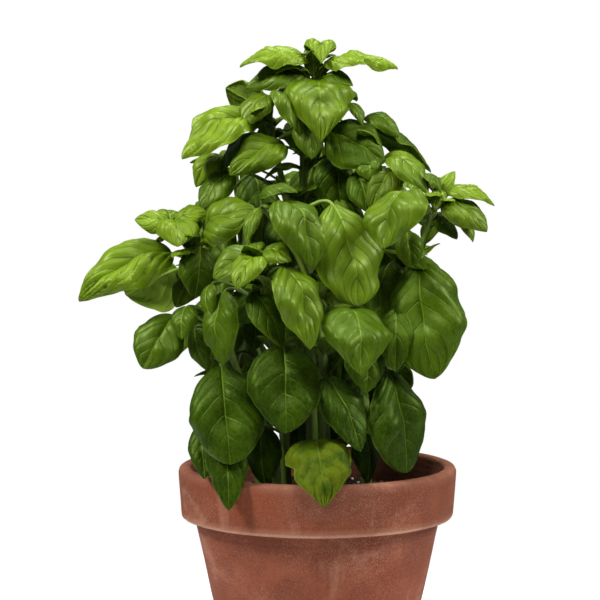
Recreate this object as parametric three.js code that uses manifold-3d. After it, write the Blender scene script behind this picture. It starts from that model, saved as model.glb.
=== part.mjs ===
// A basil plant in a terracotta pot. Millimetres, +Z up, the origin at the middle of the pot's foot.
// The pot is a turned body with a collar; compost fills it to below the rim, and leafy stems stand in it.
// Each leafy stem is one solid: its stem, its side shoots, its leaf stalks and its blades, grown together.
import * as THREE from "three";
import { mergeVertices } from "three/addons/utils/BufferGeometryUtils.js";
import Module from "manifold-3d";

const wasm = await Module();
wasm.setup();
const { Manifold } = wasm;

// The pot.
const POT_HEIGHT = 132;
const COLLAR_HEIGHT = 27.5;
const COLLAR_TOP_RADIUS = 75;
const COLLAR_FOOT_RADIUS = 73.4;
const BODY_TOP_RADIUS = 66.5;
const FOOT_RADIUS = 44;
const MOUTH_RADIUS = 67.6;
const WALL = 7;
const FLOOR = 9;
const DRAIN_HOLES = 3;
const DRAIN_RADIUS = 4.5;
const DRAIN_RING_RADIUS = 21;
const DRAIN_STEPS = 10;
const LIP_ROUND = 3;
const EDGE_ROUND = 2;
const TURN_STEPS = 32;
const COLLAR_FOOT = POT_HEIGHT - COLLAR_HEIGHT;
const SHOULDER = COLLAR_FOOT + WALL;

// The compost.
const SOIL_DEPTH_BELOW_RIM = 18;
const SOIL_TOP = POT_HEIGHT - SOIL_DEPTH_BELOW_RIM;
const SOIL_RINGS = 4;
const SOIL_LUMP = 1.4;
const SOIL_MOUND = 2;
const LUMP_TURNS = { x: 0.35, y: 0.13 };
const CROSS_TURNS = { x: -0.17, y: 0.31 };
const SEAT_GAP = 0.3;
const ROOT_DEPTH = 28;
const HOLE_STEPS = 12;

// Blades: a broad one has more columns, a large one more rows, a short one fewer, and a tiny one is flat
// across.
const BLADE_THICKNESS = 0.7;
const BROAD_BLADE = 56;
const LARGE_BLADE = 46;
const SHORT_BLADE = 25;
const TINY_BLADE = 16;
const LARGE_ROWS = [0.11, 0.33, 0.62, 0.87, 1];
const SMALL_ROWS = [0.14, 0.42, 0.76, 1];
const SHORT_ROWS = [0.18, 0.58, 1];
const BROAD_COLUMNS = [-1, -0.4, 0.4, 1];
const PLAIN_COLUMNS = [-1, 0, 1];
const TINY_COLUMNS = [-1, 1];

// The outline of a blade opens and closes as powers of the way along, which together come to this.
const OUTLINE_TAPER = 1.24;
const BLADE_ROOT_HALF = 0.8;
const BLADE_TIP_HALF = 0.45;
const PLAIN_ARCH = 0.16;
const PLAIN_CUP = 28;
const PLAIN_WAIST = 0.44;
// The midrib rises as a half sine over the way along to this power, so that it is highest before the middle.
const ARCH_POWER = 0.8;
const OUTWARD_SHARE = 0.5;

// Stalks and stems.
const STALK_RADIUS = 0.85;
const STALK_ROOT_SWELL = 1.25;
const STALK_END_SWELL = 0.9;
const STALK_SPRING = 0.12;
const STALK_RUN_IN = 0.35;
const STALK_RISE = 0.45;
const LONG_STALK = 14;
const STEM_SIDES = 5;
const STEM_STEPS_PER_POINT = 1.3;
const ANCHOR_TRIES = 60;
const NEARNESS_SHARE = 0.2;

// Leaves where the photograph's view doesn't reach: shares of their length.
const GROWN_STALK = 0.27;
const GROWN_STALK_RISE = 0.16;
const GROWN_WIDTH = 0.64;
const GROWN_ROLL = 18;
const GROWN_ROLL_TURN = 2.4;

// Stems and blades are set out as seen from the front, by an eye at this height and distance: x and z are
// read on the upright plane through the pot's axis, and depth moves the point along the line of sight.
const EYE_HEIGHT = 319;
const EYE_DISTANCE = 1250;

const UP = new THREE.Vector3(0, 0, 1);

function seen([x, z, depth]) {
  const nearer = 1 + depth / EYE_DISTANCE;
  return new THREE.Vector3(x * nearer, depth, EYE_HEIGHT + (z - EYE_HEIGHT) * nearer);
}

function solidOf(geometry) {
  const bare = geometry.clone();
  for (const extra of ["normal", "uv"]) bare.deleteAttribute(extra);
  const merged = mergeVertices(bare, 1e-4);
  const mesh = new wasm.Mesh({
    numProp: 3,
    vertProperties: new Float32Array(merged.attributes.position.array),
    triVerts: new Uint32Array(merged.index.array),
  });
  return new Manifold(mesh);
}

function meshOf(name, solid, material) {
  const data = solid.getMesh();
  const geometry = new THREE.BufferGeometry();
  geometry.setAttribute("position", new THREE.BufferAttribute(new Float32Array(data.vertProperties), 3));
  geometry.setIndex(new THREE.BufferAttribute(new Uint32Array(data.triVerts), 1));
  geometry.computeVertexNormals();
  const mesh = new THREE.Mesh(geometry, material);
  mesh.name = name;
  return mesh;
}

// A closed skin over rings of points: every ring has the same count, and a fan closes each end.
function skin(rings) {
  const count = rings[0].length;
  const positions = rings.flat().flatMap((p) => [p.x, p.y, p.z]);
  const index = [];
  for (let i = 0; i + 1 < rings.length; i++)
    for (let j = 0; j < count; j++) {
      const a = i * count + j;
      const b = i * count + ((j + 1) % count);
      index.push(a, b, b + count, a, b + count, a + count);
    }
  const last = (rings.length - 1) * count;
  for (let j = 1; j + 1 < count; j++) {
    index.push(0, j + 1, j);
    index.push(last, last + j, last + j + 1);
  }
  const geometry = new THREE.BufferGeometry();
  geometry.setAttribute("position", new THREE.Float32BufferAttribute(positions, 3));
  geometry.setIndex(index);
  return geometry;
}

// A tapering rod along a curve.
function rod(points, startRadius, endRadius, sides, steps) {
  const curve = new THREE.CatmullRomCurve3(points, false, "centripetal");
  const frames = curve.computeFrenetFrames(steps, false);
  const rings = [];
  for (let i = 0; i <= steps; i++) {
    const centre = curve.getPointAt(i / steps);
    const radius = THREE.MathUtils.lerp(startRadius, endRadius, i / steps);
    const ring = [];
    for (let j = 0; j < sides; j++) {
      const angle = (2 * Math.PI * j) / sides;
      ring.push(
        centre
          .clone()
          .addScaledVector(frames.normals[i], radius * Math.cos(angle))
          .addScaledVector(frames.binormals[i], radius * Math.sin(angle)),
      );
    }
    rings.push(ring);
  }
  return solidOf(skin(rings));
}

// Points round a quarter of a circle, for the pot's rounded edges.
function arc(centreRadius, centreHeight, radius, fromDegrees, toDegrees, steps = 2) {
  const points = [];
  for (let i = 0; i <= steps; i++) {
    const angle = THREE.MathUtils.degToRad(fromDegrees + ((toDegrees - fromDegrees) * i) / steps);
    points.push(
      new THREE.Vector2(centreRadius + radius * Math.cos(angle), centreHeight + radius * Math.sin(angle)),
    );
  }
  return points;
}

function turned(profile) {
  return solidOf(new THREE.LatheGeometry(profile, TURN_STEPS).rotateX(Math.PI / 2));
}

// The radius of the pot's hollow at a height: it follows the body, then the collar above the shoulder.
function innerRadius(height) {
  const bodySlope = (BODY_TOP_RADIUS - FOOT_RADIUS) / COLLAR_FOOT;
  if (height < SHOULDER) return FOOT_RADIUS + bodySlope * height - WALL;
  const shoulderRadius = FOOT_RADIUS + bodySlope * SHOULDER - WALL;
  const rise = (height - SHOULDER) / (POT_HEIGHT - LIP_ROUND - SHOULDER);
  return THREE.MathUtils.lerp(shoulderRadius, MOUTH_RADIUS, Math.min(rise, 1));
}

function makePot() {
  const profile = [
    new THREE.Vector2(0, 0),
    new THREE.Vector2(FOOT_RADIUS - EDGE_ROUND, 0),
    new THREE.Vector2(FOOT_RADIUS, EDGE_ROUND),
    new THREE.Vector2(BODY_TOP_RADIUS, COLLAR_FOOT),
    ...arc(COLLAR_FOOT_RADIUS - EDGE_ROUND, COLLAR_FOOT + EDGE_ROUND, EDGE_ROUND, -90, 0),
    ...arc(COLLAR_TOP_RADIUS - LIP_ROUND, POT_HEIGHT - LIP_ROUND, LIP_ROUND, 0, 90),
    ...arc(MOUTH_RADIUS + LIP_ROUND, POT_HEIGHT - LIP_ROUND, LIP_ROUND, 90, 180),
    new THREE.Vector2(innerRadius(SHOULDER), SHOULDER),
    new THREE.Vector2(innerRadius(FLOOR), FLOOR),
    new THREE.Vector2(0, FLOOR),
  ];
  let pot = turned(profile);
  for (let i = 0; i < DRAIN_HOLES; i++) {
    const angle = (2 * Math.PI * (i + 0.25)) / DRAIN_HOLES;
    const bore = new THREE.CylinderGeometry(DRAIN_RADIUS, DRAIN_RADIUS, 3 * FLOOR, DRAIN_STEPS);
    bore.rotateX(Math.PI / 2);
    bore.translate(DRAIN_RING_RADIUS * Math.cos(angle), DRAIN_RING_RADIUS * Math.sin(angle), 0);
    pot = pot.subtract(solidOf(bore));
  }
  return pot;
}

// The compost, a little lumpy on top, with a plain hole for each stem.
function makeSoil(holes) {
  const edge = innerRadius(SOIL_TOP) - SEAT_GAP;
  const profile = [
    new THREE.Vector2(0, FLOOR + SEAT_GAP),
    new THREE.Vector2(innerRadius(FLOOR) - SEAT_GAP, FLOOR + SEAT_GAP),
    new THREE.Vector2(innerRadius(SHOULDER) - SEAT_GAP, SHOULDER),
    new THREE.Vector2(edge, SOIL_TOP),
  ];
  for (let i = 1; i <= SOIL_RINGS; i++)
    profile.push(new THREE.Vector2(edge * (1 - i / SOIL_RINGS), SOIL_TOP));
  const geometry = new THREE.LatheGeometry(profile, TURN_STEPS).rotateX(Math.PI / 2);
  const place = geometry.attributes.position;
  for (let i = 0; i < place.count; i++) {
    const [x, y, z] = [place.getX(i), place.getY(i), place.getZ(i)];
    const inside = 1 - Math.hypot(x, y) / edge;
    const lump = Math.sin(x * LUMP_TURNS.x + y * LUMP_TURNS.y);
    const cross = Math.cos(x * CROSS_TURNS.x + y * CROSS_TURNS.y);
    const wave = lump + cross + inside * SOIL_MOUND;
    if (z > SOIL_TOP - 0.1 && inside > 0.01) place.setZ(i, z + SOIL_LUMP * wave);
  }
  let soil = solidOf(geometry);
  for (const hole of holes) soil = soil.subtract(hole);
  return soil;
}

// Half of a blade's width at u, where its widest place is at u = waist.
function outlineHalf(leaf, u) {
  const opening = OUTLINE_TAPER * leaf.waist;
  const closing = OUTLINE_TAPER * (1 - leaf.waist);
  const peak = leaf.waist ** opening * (1 - leaf.waist) ** closing;
  const half = ((leaf.wide / 2) * (u ** opening * (1 - u) ** closing)) / peak;
  return Math.max(half, u < leaf.waist ? BLADE_ROOT_HALF : BLADE_TIP_HALF);
}

// The frame of a blade: along its midrib, out of its upper face, and to its side.
// The upper face looks up on a level leaf, outwards on a hanging one and inwards on an upright one,
// and is then rolled about the midrib.
function bladeFrame(leaf) {
  const along = leaf.tip.clone().sub(leaf.base);
  const length = along.length();
  along.normalize();
  const middle = leaf.base.clone().add(leaf.tip).multiplyScalar(0.5);
  const away = middle.sub(leaf.anchor).setZ(0);
  const out = new THREE.Vector3(along.x, along.y, 0);
  out.addScaledVector(away.normalize(), OUTWARD_SHARE).normalize();
  const face = UP.clone().multiplyScalar(along.dot(out)).addScaledVector(out, -along.z).normalize();
  face.applyAxisAngle(along, THREE.MathUtils.degToRad(leaf.roll));
  const side = new THREE.Vector3().crossVectors(along, face);
  return { along, length, face, side };
}

// A point of the blade's middle surface, and the normal there: u runs from base to tip and v across.
function bladePoint(leaf, frame, u, v) {
  const { along, length, face, side } = frame;
  const bend = Math.sin(Math.PI * u ** ARCH_POWER);
  const slopeShare = u > 0 ? ARCH_POWER * u ** (ARCH_POWER - 1) : 1;
  const bendSlope = Math.PI * slopeShare * Math.cos(Math.PI * u ** ARCH_POWER);
  const cupRadius = leaf.wide / 2 / THREE.MathUtils.degToRad(leaf.cup);
  const turn = (v * outlineHalf(leaf, u)) / cupRadius;
  const point = leaf.base
    .clone()
    .addScaledVector(along, length * u)
    .addScaledVector(face, leaf.arch * length * bend - cupRadius * (1 - Math.cos(turn)))
    .addScaledVector(side, cupRadius * Math.sin(turn));
  const lengthwise = along.clone().addScaledVector(face, leaf.arch * bendSlope);
  const crosswise = side.clone().multiplyScalar(Math.cos(turn)).addScaledVector(face, -Math.sin(turn));
  const normal = new THREE.Vector3().crossVectors(crosswise, lengthwise).normalize();
  return { point, normal };
}

// The rings of a blade, each the upper face's points from one margin to the other and the lower face's back.
function bladeRings(leaf, frame, columns) {
  const plain = frame.length > SHORT_BLADE ? SMALL_ROWS : SHORT_ROWS;
  const rows = frame.length > LARGE_BLADE ? LARGE_ROWS : plain;
  return rows.map((u) => {
    const spots = columns.map((v) => bladePoint(leaf, frame, u, v));
    const upper = spots.map((s) => s.point.clone().addScaledVector(s.normal, BLADE_THICKNESS / 2));
    const lower = spots.map((s) => s.point.clone().addScaledVector(s.normal, -BLADE_THICKNESS / 2));
    return [...upper, ...lower.reverse()];
  });
}

// The rings of a stalk, from inside the stem to the blade's base, where it comes in along the midrib.
// Its section is turned with the blade and carried back along the stalk without a twist.
function stalkRings(leaf, frame, sides) {
  const end = bladePoint(leaf, frame, 0, 0);
  const inwards = bladePoint(leaf, frame, 0.05, 0).point.sub(end.point).normalize();
  const reach = leaf.anchor.distanceTo(end.point);
  const curve = new THREE.CubicBezierCurve3(
    leaf.anchor,
    leaf.anchor.clone().lerp(end.point, 0.3).addScaledVector(UP, STALK_SPRING * reach),
    end.point.clone().addScaledVector(inwards, -STALK_RUN_IN * reach),
    end.point,
  );
  const thick = STALK_RADIUS * THREE.MathUtils.clamp(frame.length / 40, 0.7, 1.25);
  const steps = reach > LONG_STALK ? 3 : 2;
  const rings = [];
  let side = frame.side.clone();
  for (let i = steps; i >= 0; i--) {
    const tangent = curve.getTangent(i / steps);
    side = side.addScaledVector(tangent, -side.dot(tangent)).normalize();
    const face = new THREE.Vector3().crossVectors(side, tangent);
    const centre = curve.getPoint(i / steps);
    const radius = thick * THREE.MathUtils.lerp(STALK_ROOT_SWELL, STALK_END_SWELL, i / steps);
    const ring = [];
    for (let j = 0; j < sides; j++) {
      const angle = ((j + 0.5) / sides) * 2 * Math.PI - Math.PI / 2;
      ring.push(
        centre
          .clone()
          .addScaledVector(side, radius * Math.sin(angle))
          .addScaledVector(face, radius * Math.cos(angle)),
      );
    }
    rings.unshift(ring);
  }
  return rings;
}

// A leaf's skin is split into triangles alike on both faces, so that a waved blade never crosses itself.
function leafSolid(leaf, frame) {
  const plain = frame.length > TINY_BLADE ? PLAIN_COLUMNS : TINY_COLUMNS;
  const columns = frame.length > BROAD_BLADE ? BROAD_COLUMNS : plain;
  const across = columns.length;
  const count = 2 * across;
  const rings = [...stalkRings(leaf, frame, count), ...bladeRings(leaf, frame, columns)];
  const index = [];
  for (let i = 0; i + 1 < rings.length; i++)
    for (let j = 0; j < count; j++) {
      const a = i * count + j;
      const b = i * count + ((j + 1) % count);
      if (j < across) index.push(a, b, b + count, a, b + count, a + count);
      else index.push(a, b, a + count, b, b + count, a + count);
    }
  const last = (rings.length - 1) * count;
  for (let j = 0; j + 1 < across; j++) {
    const [a, b, c, d] = [j, j + 1, count - 2 - j, count - 1 - j];
    index.push(a, c, b, a, d, c);
    index.push(last + a, last + b, last + c, last + a, last + c, last + d);
  }
  const geometry = new THREE.BufferGeometry();
  const positions = rings.flat().flatMap((p) => [p.x, p.y, p.z]);
  geometry.setAttribute("position", new THREE.Float32BufferAttribute(positions, 3));
  geometry.setIndex(index);
  return solidOf(geometry);
}

// Where a leaf's stalk leaves its shoot: below the blade's base by a share of how far off it is.
function anchorOn(curve, base) {
  let best = curve.getPointAt(1);
  let least = Infinity;
  for (let i = 0; i <= ANCHOR_TRIES; i++) {
    const spot = curve.getPointAt(i / ANCHOR_TRIES);
    const off = Math.hypot(base.x - spot.x, base.y - spot.y);
    const miss = Math.abs(base.z - STALK_RISE * off - spot.z) + NEARNESS_SHARE * off;
    if (miss < least) {
      least = miss;
      best = spot;
    }
  }
  return best;
}

// A leaf's row: the blade's base and tip, its width, its roll in degrees, the arch of its midrib as a share
// of its length, the cup of its sides in degrees, and its waist.
function leafRow([base, tip, wide, roll = 0, arch = PLAIN_ARCH, cup = PLAIN_CUP, waist = PLAIN_WAIST]) {
  return { base: seen(base), tip: seen(tip), wide, roll, arch, cup, waist };
}

// A leaf where the photograph's view doesn't reach: how far up its shoot, its bearing from the right
// towards the back, its length, and how far it droops.
function grownLeaf(curve, [share, bearing, length, droop], index) {
  const anchor = curve.getPointAt(share);
  const [turn, fall] = [THREE.MathUtils.degToRad(bearing), THREE.MathUtils.degToRad(droop)];
  const out = new THREE.Vector3(Math.cos(turn), Math.sin(turn), 0);
  const base = anchor
    .clone()
    .addScaledVector(out, GROWN_STALK * length)
    .addScaledVector(UP, GROWN_STALK_RISE * length);
  const tip = base
    .clone()
    .addScaledVector(out, length * Math.cos(fall))
    .addScaledVector(UP, -length * Math.sin(fall));
  const roll = GROWN_ROLL * Math.sin(index * GROWN_ROLL_TURN);
  const wide = GROWN_WIDTH * length;
  return { anchor, base, tip, wide, roll, arch: PLAIN_ARCH, cup: PLAIN_CUP, waist: PLAIN_WAIST };
}

// The stems. Each has its shoots, the first of them rooted in the compost at x and y; a shoot's radius
// runs from its foot to its tip.
const CENTRE = {
  name: "leafy_stem_centre",
  colour: 0x6f9a2c,
  shoots: [
    {
      path: [[-3, 150, 0], [-5, 210, -2], [-7, 260, -3], [-7, 300, -3], [-2, 335, -4], [0, 351, -6]],
      root: [-3, 0],
      radius: [3.4, 1.6],
      leaves: [
        [[1, 353, 2], [2, 348, -20], 18, 0, 0.38, 25, 0.3],
        [[0, 352, -6], [-1, 354, 14], 15, 0, 0.2, 25],
        [[-2, 350, -8], [-10, 353, -12], 6, 0, 0.2, 25],
        [[3, 350, -8], [10, 352, -12], 6, 0, 0.2, 25],
        [[-5, 348.5, -5], [-41.5, 346, -12], 25, -16, 0.15, 25, 0.38],
        [[4, 347.5, -5], [43, 345, -12], 26, 9, 0.1, 25, 0.32],
        [[0, 339, -10], [2, 306, -32], 39, 0, 0.2, 25, 0.26],
        [[2, 333, 3], [21, 328, 26], 19, 0, 0.15, 25],
        [[-6, 341, -6], [-38, 335, -6], 24, -30, 0.16, 25],
        [[4, 341, -8], [19, 336, -14], 15, 30, 0.2, 25],
        [[-17, 304, -16], [-47, 288.5, -32], 23, -38, 0.2, 30],
        [[6, 312, -16], [36, 295, -26], 32, 55, 0.12, 20],
        [[-6, 318, -16], [-3, 297, -26], 18, 0, 0.15, 25],
        [[-4, 316, 8], [-8, 298, 40], 27, 0, 0.18, 25],
        [[-8, 291, -2], [-29, 285.5, -8], 16, 0, 0.25, 25],
        [[8, 298, -8], [11, 262, -22], 28, 0, 0.12, 25],
        [[-14, 274, -6], [-16, 236, -22], 31, 0, 0.12, 25],
        [[24, 314, -4], [61, 290, -8], 22, -30, 0.12, 20],
        [[25, 319, -8], [44, 308.5, -12], 19, 20, 0.25, 30],
        [[17, 327, -14], [24, 315, -20], 10, 10, 0.2, 25],
        [[-12, 226, -12], [-17, 190, -24], 26, 0, 0.14, 28],
      ],
      grown: [
        [0.38, 108, 38, 40],
        [0.5, 335, 40, 35],
        [0.5, 165, 40, 35],
        [0.6, 30, 32, 25],
        [0.7, 330, 32, 25],
      ],
    },
    {
      path: [[-6, 240, -2], [-14, 265, 0], [-21, 295, -4], [-25, 315, -7], [-25, 328, -10]],
      radius: [2, 1.2],
      leaves: [
        [[-26, 331, -12], [-38, 314.5, -23], 21, -8, 0.2, 25],
        [[-23, 333, -14], [-10, 310, -26], 26, -12, 0.22, 25],
        [[-22, 329, -6], [-14, 335, -2], 12, 0, 0.2, 25],
        [[-28, 320, 10], [-49, 335, 20], 26, 75, 0.1, 20],
        [[-32, 319, -6], [-72.5, 297, -22], 37, -22, 0.17, 25, 0.48],
        [[-24, 319, 0], [-33, 313, -2], 9, -10, 0.2, 25],
        [[-35, 311, -3], [-51, 290, -12], 27, 0, 0.15, 25, 0.5],
        [[-50, 298, 2], [-65, 282, -6], 19, -30, 0.3, 40],
        [[-46, 290, -10], [-62, 270, -20], 22, -20, 0.15, 30],
        [[-48, 292, -2], [-61, 279, -4], 16, -10, 0.2, 30],
        [[-26, 314, 6], [-30, 296, 2], 20, 0, 0.16, 28],
      ],
    },
    {
      path: [[-6, 235, -2], [4, 250, 0], [18, 275, -6], [30, 290, -14], [35, 298, -18]],
      radius: [2, 1.2],
      leaves: [
        [[38, 297, -22], [59, 278, -36], 25, 5, 0.2, 25],
        [[27, 297, -26], [29, 285, -32], 15, 0, 0.2, 25],
        [[21, 290, -22], [28, 268, -34], 18, 10, 0.15, 35],
        [[42, 291, -24], [29, 271, -36], 21, 0, 0.22, 30],
        [[57, 289, -28], [66, 280, -34], 12, 0, 0.2, 25],
      ],
    },
  ],
};

const LEFT = {
  name: "leafy_stem_left",
  colour: 0x66922a,
  shoots: [
    {
      path: [[-34, 150, -12], [-46, 190, -20], [-58, 225, -22], [-68, 246, -23], [-77, 263, -24]],
      root: [-30, -10],
      radius: [3, 1.4],
      leaves: [
        [[-80, 262.6, -24.5], [-98, 264.5, -26], 16, -50, 0.1, 30],
        [[-79, 264, -20], [-81, 269.5, -8], 14, 0, 0.2, 25],
        [[-76.6, 264, -24], [-59, 268, -26], 16, 35, 0.15, 25],
        [[-76, 262, -24], [-75, 250, -42], 25, 0, 0.3, 30],
        [[-76, 257, -20], [-88, 251, -16], 10, 0, 0.15, 25],
        [[-78, 246.5, -20], [-128.5, 221, -36], 34, -38, 0.17, 25],
        [[-75.3, 238.2, -4], [-103, 224, 12.4], 38, 62, 0.1, 20, 0.54],
        [[-63, 250, -24], [-66, 222, -32], 22, 0, 0.15, 30],
        [[-64.3, 235.2, -22.4], [-76.2, 217.3, -26.3], 18, -35, 0.15, 25],
        [[-61, 257, -26], [-33, 270, -38], 36, 45, 0.2, 30],
        [[-77.3, 213.2, -34.4], [-94.1, 184.2, -44.2], 28, -50, 0.1, 25, 0.5],
        [[-70, 218, -34], [-73, 200, -44], 17, 0, 0.2, 30],
        [[-66, 205, -24], [-60, 183.5, -28], 15, 0, 0.1, 25],
        [[-52, 186, -50], [-47, 132, -72], 42, 0, 0.14, 30, 0.56],
        [[-51, 152, -50], [-48, 107, -71], 23, -12, 0.16, 30, 0.42],
        [[-62, 154, -38], [-61, 124, -56], 17, 0, 0.12, 25],
      ],
      grown: [
        [0.42, 125, 34, 55],
        [0.5, 105, 30, 50],
        [0.68, 150, 36, 35],
        [0.82, 110, 30, 25],
      ],
    },
  ],
};

const FRONT_LEFT = {
  name: "leafy_stem_front_left",
  colour: 0x5f8d28,
  shoots: [
    {
      path: [[-18, 150, -36], [-24, 200, -48], [-30, 235, -56], [-31, 247, -58]],
      root: [-16, -30],
      radius: [2.8, 1.4],
      leaves: [
        [[-33, 246, -60], [-56, 233, -66], 25, -40, 0.17, 25],
        [[-31, 243, -64], [-43, 227, -80], 20, 0, 0.25, 25],
        [[-29, 247, -60], [-14, 242, -66], 19, 30, 0.28, 30],
        [[-32, 248, -58], [-32, 252, -48], 8, 0, 0.2, 25],
        [[-18, 239, -64], [-4, 194.5, -80], 33, 0, 0.14, 28],
        [[-35, 226, -54], [-19, 195.5, -64], 22, 0, 0.12, 25],
        [[-57, 230, -46], [-57, 210.5, -54], 13, 0, 0.2, 35],
        [[-50, 226, -50], [-50.5, 186, -62], 29, 0, 0.14, 30, 0.5],
        [[-18.5, 197, -58], [-17, 149, -76], 41, 0, 0.12, 28, 0.46],
        [[-30, 152, -42], [-28, 120, -54], 22, 0, 0.14, 28],
      ],
    },
  ],
};

const FRONT = {
  name: "leafy_stem_front",
  colour: 0x4d7f22,
  shoots: [
    {
      path: [[4, 150, -36], [2, 200, -42], [-8, 240, -42], [-22, 262, -42], [-30, 273, -43]],
      root: [6, -32],
      radius: [3, 1.4],
      leaves: [
        [[-30, 275, -43], [-10.5, 279, -50], 23, 8, 0.3, 32],
        [[-31, 271, -45], [-38, 252, -54], 11, 0, 0.15, 25],
        [[-30, 272, -46], [-22, 270, -50], 6, 10, 0.2, 25],
        [[-20, 274, -48], [-3, 238.5, -66], 35, 0, 0.24, 30, 0.42],
        [[8, 273, -44], [22, 218, -62], 42, 24, 0.12, 32, 0.56],
        [[17, 217, -58], [23.5, 181, -80], 38, 0, 0.2, 28, 0.36],
        [[4, 180, -54], [23.5, 139, -69], 26, 8, 0.12, 28],
        [[25, 198, -50], [26, 171, -62], 26, 0, 0.15, 30],
        [[-1, 145, -58], [4, 108.5, -84], 37, 0, 0.2, 24, 0.34],
        [[24, 150, -36], [27, 121, -48], 21, 0, 0.14, 28],
      ],
    },
  ],
};

const RIGHT = {
  name: "leafy_stem_right",
  colour: 0x5c8926,
  shoots: [
    {
      path: [[30, 150, -12], [42, 200, -20], [54, 245, -24], [61, 265, -25], [66, 280, -26]],
      root: [26, -10],
      radius: [3, 1.4],
      leaves: [
        [[68, 278, -26], [95, 272, -28], 18, 15, 0.2, 25],
        [[67, 273, -28], [91, 258, -36], 26, 20, 0.2, 45],
        [[66, 280, -28], [63, 270, -38], 10, 0, 0.2, 25],
        [[62, 280, -22], [66, 287, -12], 9, 0, 0.2, 25],
        [[58, 267, -16], [75, 254, -20], 22, 20, 0.2, 25],
        [[51, 278.5, -50], [36, 249, -72], 42, 12, 0.24, 30, 0.5],
        [[48, 258, -36], [51, 238, -42], 16, 0, 0.15, 25],
        [[38, 240, -28], [34, 204, -40], 27, 0, 0.12, 25],
        [[55.5, 241, -38], [63, 178.5, -54], 47, 38, 0.14, 38, 0.48],
        [[43, 217, -48], [42, 182.5, -58], 20, 0, 0.12, 25],
        [[37.5, 184, -45], [48.5, 127.5, -53], 39, -8, 0.12, 28, 0.6],
        [[74, 268, -18], [83.5, 252.5, -24], 18, 10, 0.15, 25],
      ],
      grown: [
        [0.42, 40, 34, 60],
        [0.56, 90, 32, 45],
        [0.7, 65, 34, 35],
        [0.84, 112, 28, 30],
      ],
    },
  ],
};

const BACK_LEFT = {
  name: "leafy_stem_back_left",
  colour: 0x557f26,
  shoots: [
    {
      path: [[-26, 150, 26], [-34, 200, 34], [-40, 245, 40], [-43, 280, 43], [-44, 292, 44]],
      root: [-22, 22],
      radius: [2.8, 1.4],
      leaves: [
        [[-34, 288, 32], [-31, 247, 24], 30, 0, 0.14, 28],
        [[-34, 232, 26], [-34, 194, 16], 29, 0, 0.14, 28],
        [[-50, 264, 26], [-58, 232, 16], 26, 0, 0.14, 28],
      ],
      grown: [
        [0.42, 140, 50, 60],
        [0.5, 112, 52, 58],
        [0.62, 200, 46, 45],
        [0.62, 120, 54, 50],
        [0.74, 170, 46, 40],
        [0.74, 80, 46, 40],
        [0.87, 120, 40, 25],
        [0.94, 75, 26, 15],
        [1, 190, 20, 0],
        [1, 100, 24, -5],
        [1, 10, 18, 0],
        [0.48, 195, 38, 65],
        [0.58, 228, 40, 55],
        [0.72, 232, 36, 50],
        [0.86, 225, 32, 35],
      ],
    },
  ],
};

const BACK = {
  name: "leafy_stem_back",
  colour: 0x4f7a24,
  shoots: [
    {
      path: [[3, 150, 33], [5, 200, 38], [4, 250, 42], [3, 290, 44], [2, 306, 44]],
      root: [4, 30],
      radius: [3, 1.4],
      leaves: [
        [[-2, 293, 30], [-6, 258, 20], 30, 0, 0.14, 28],
        [[9, 256, 32], [9, 216, 23], 32, 0, 0.14, 28],
        [[14, 212, 28], [12, 176, 18], 26, 0, 0.14, 28],
        [[-2, 182, 26], [-11, 134, 12], 34, 0, 0.14, 28],
      ],
      grown: [
        [0.4, 75, 54, 60],
        [0.5, 110, 46, 58],
        [0.58, 80, 54, 50],
        [0.66, 64, 46, 40],
        [0.66, 140, 48, 40],
        [0.78, 90, 50, 35],
        [0.88, 35, 38, 20],
        [0.88, 145, 36, 20],
        [0.95, 90, 36, 15],
        [1, 180, 22, 0],
        [1, 60, 24, 0],
        [1, 340, 18, 0],
      ],
    },
  ],
};

const BACK_RIGHT = {
  name: "leafy_stem_back_right",
  colour: 0x557f26,
  shoots: [
    {
      path: [[31, 150, 23], [39, 200, 30], [45, 240, 35], [48, 265, 38], [49, 278, 39]],
      root: [27, 18],
      radius: [2.8, 1.4],
      leaves: [
        [[38, 268, 28], [35, 234, 20], 26, 0, 0.14, 28],
        [[22, 176, 20], [11, 138, 8], 32, 0, 0.14, 28],
      ],
      grown: [
        [0.42, 96, 44, 55],
        [0.5, 80, 40, 60],
        [0.6, 104, 46, 50],
        [0.66, 60, 50, 50],
        [0.78, 84, 44, 35],
        [0.8, 50, 32, 50],
        [0.92, 70, 38, 20],
        [0.92, 340, 22, 10],
        [1, 70, 18, 0],
        [1, 110, 24, 0],
        [1, 220, 18, 0],
        [0.58, 0, 28, 50],
        [0.64, 330, 36, 60],
        [0.8, 325, 30, 50],
      ],
    },
  ],
};

const STEMS = [CENTRE, LEFT, FRONT_LEFT, FRONT, RIGHT, BACK_LEFT, BACK, BACK_RIGHT];

const TERRACOTTA = new THREE.MeshStandardMaterial({ color: 0xa5614a, roughness: 0.9, metalness: 0 });
const COMPOST = new THREE.MeshStandardMaterial({ color: 0x2b1d14, roughness: 1, metalness: 0 });

function leafMaterial(colour) {
  return new THREE.MeshStandardMaterial({ color: colour, roughness: 0.45, metalness: 0 });
}

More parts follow.
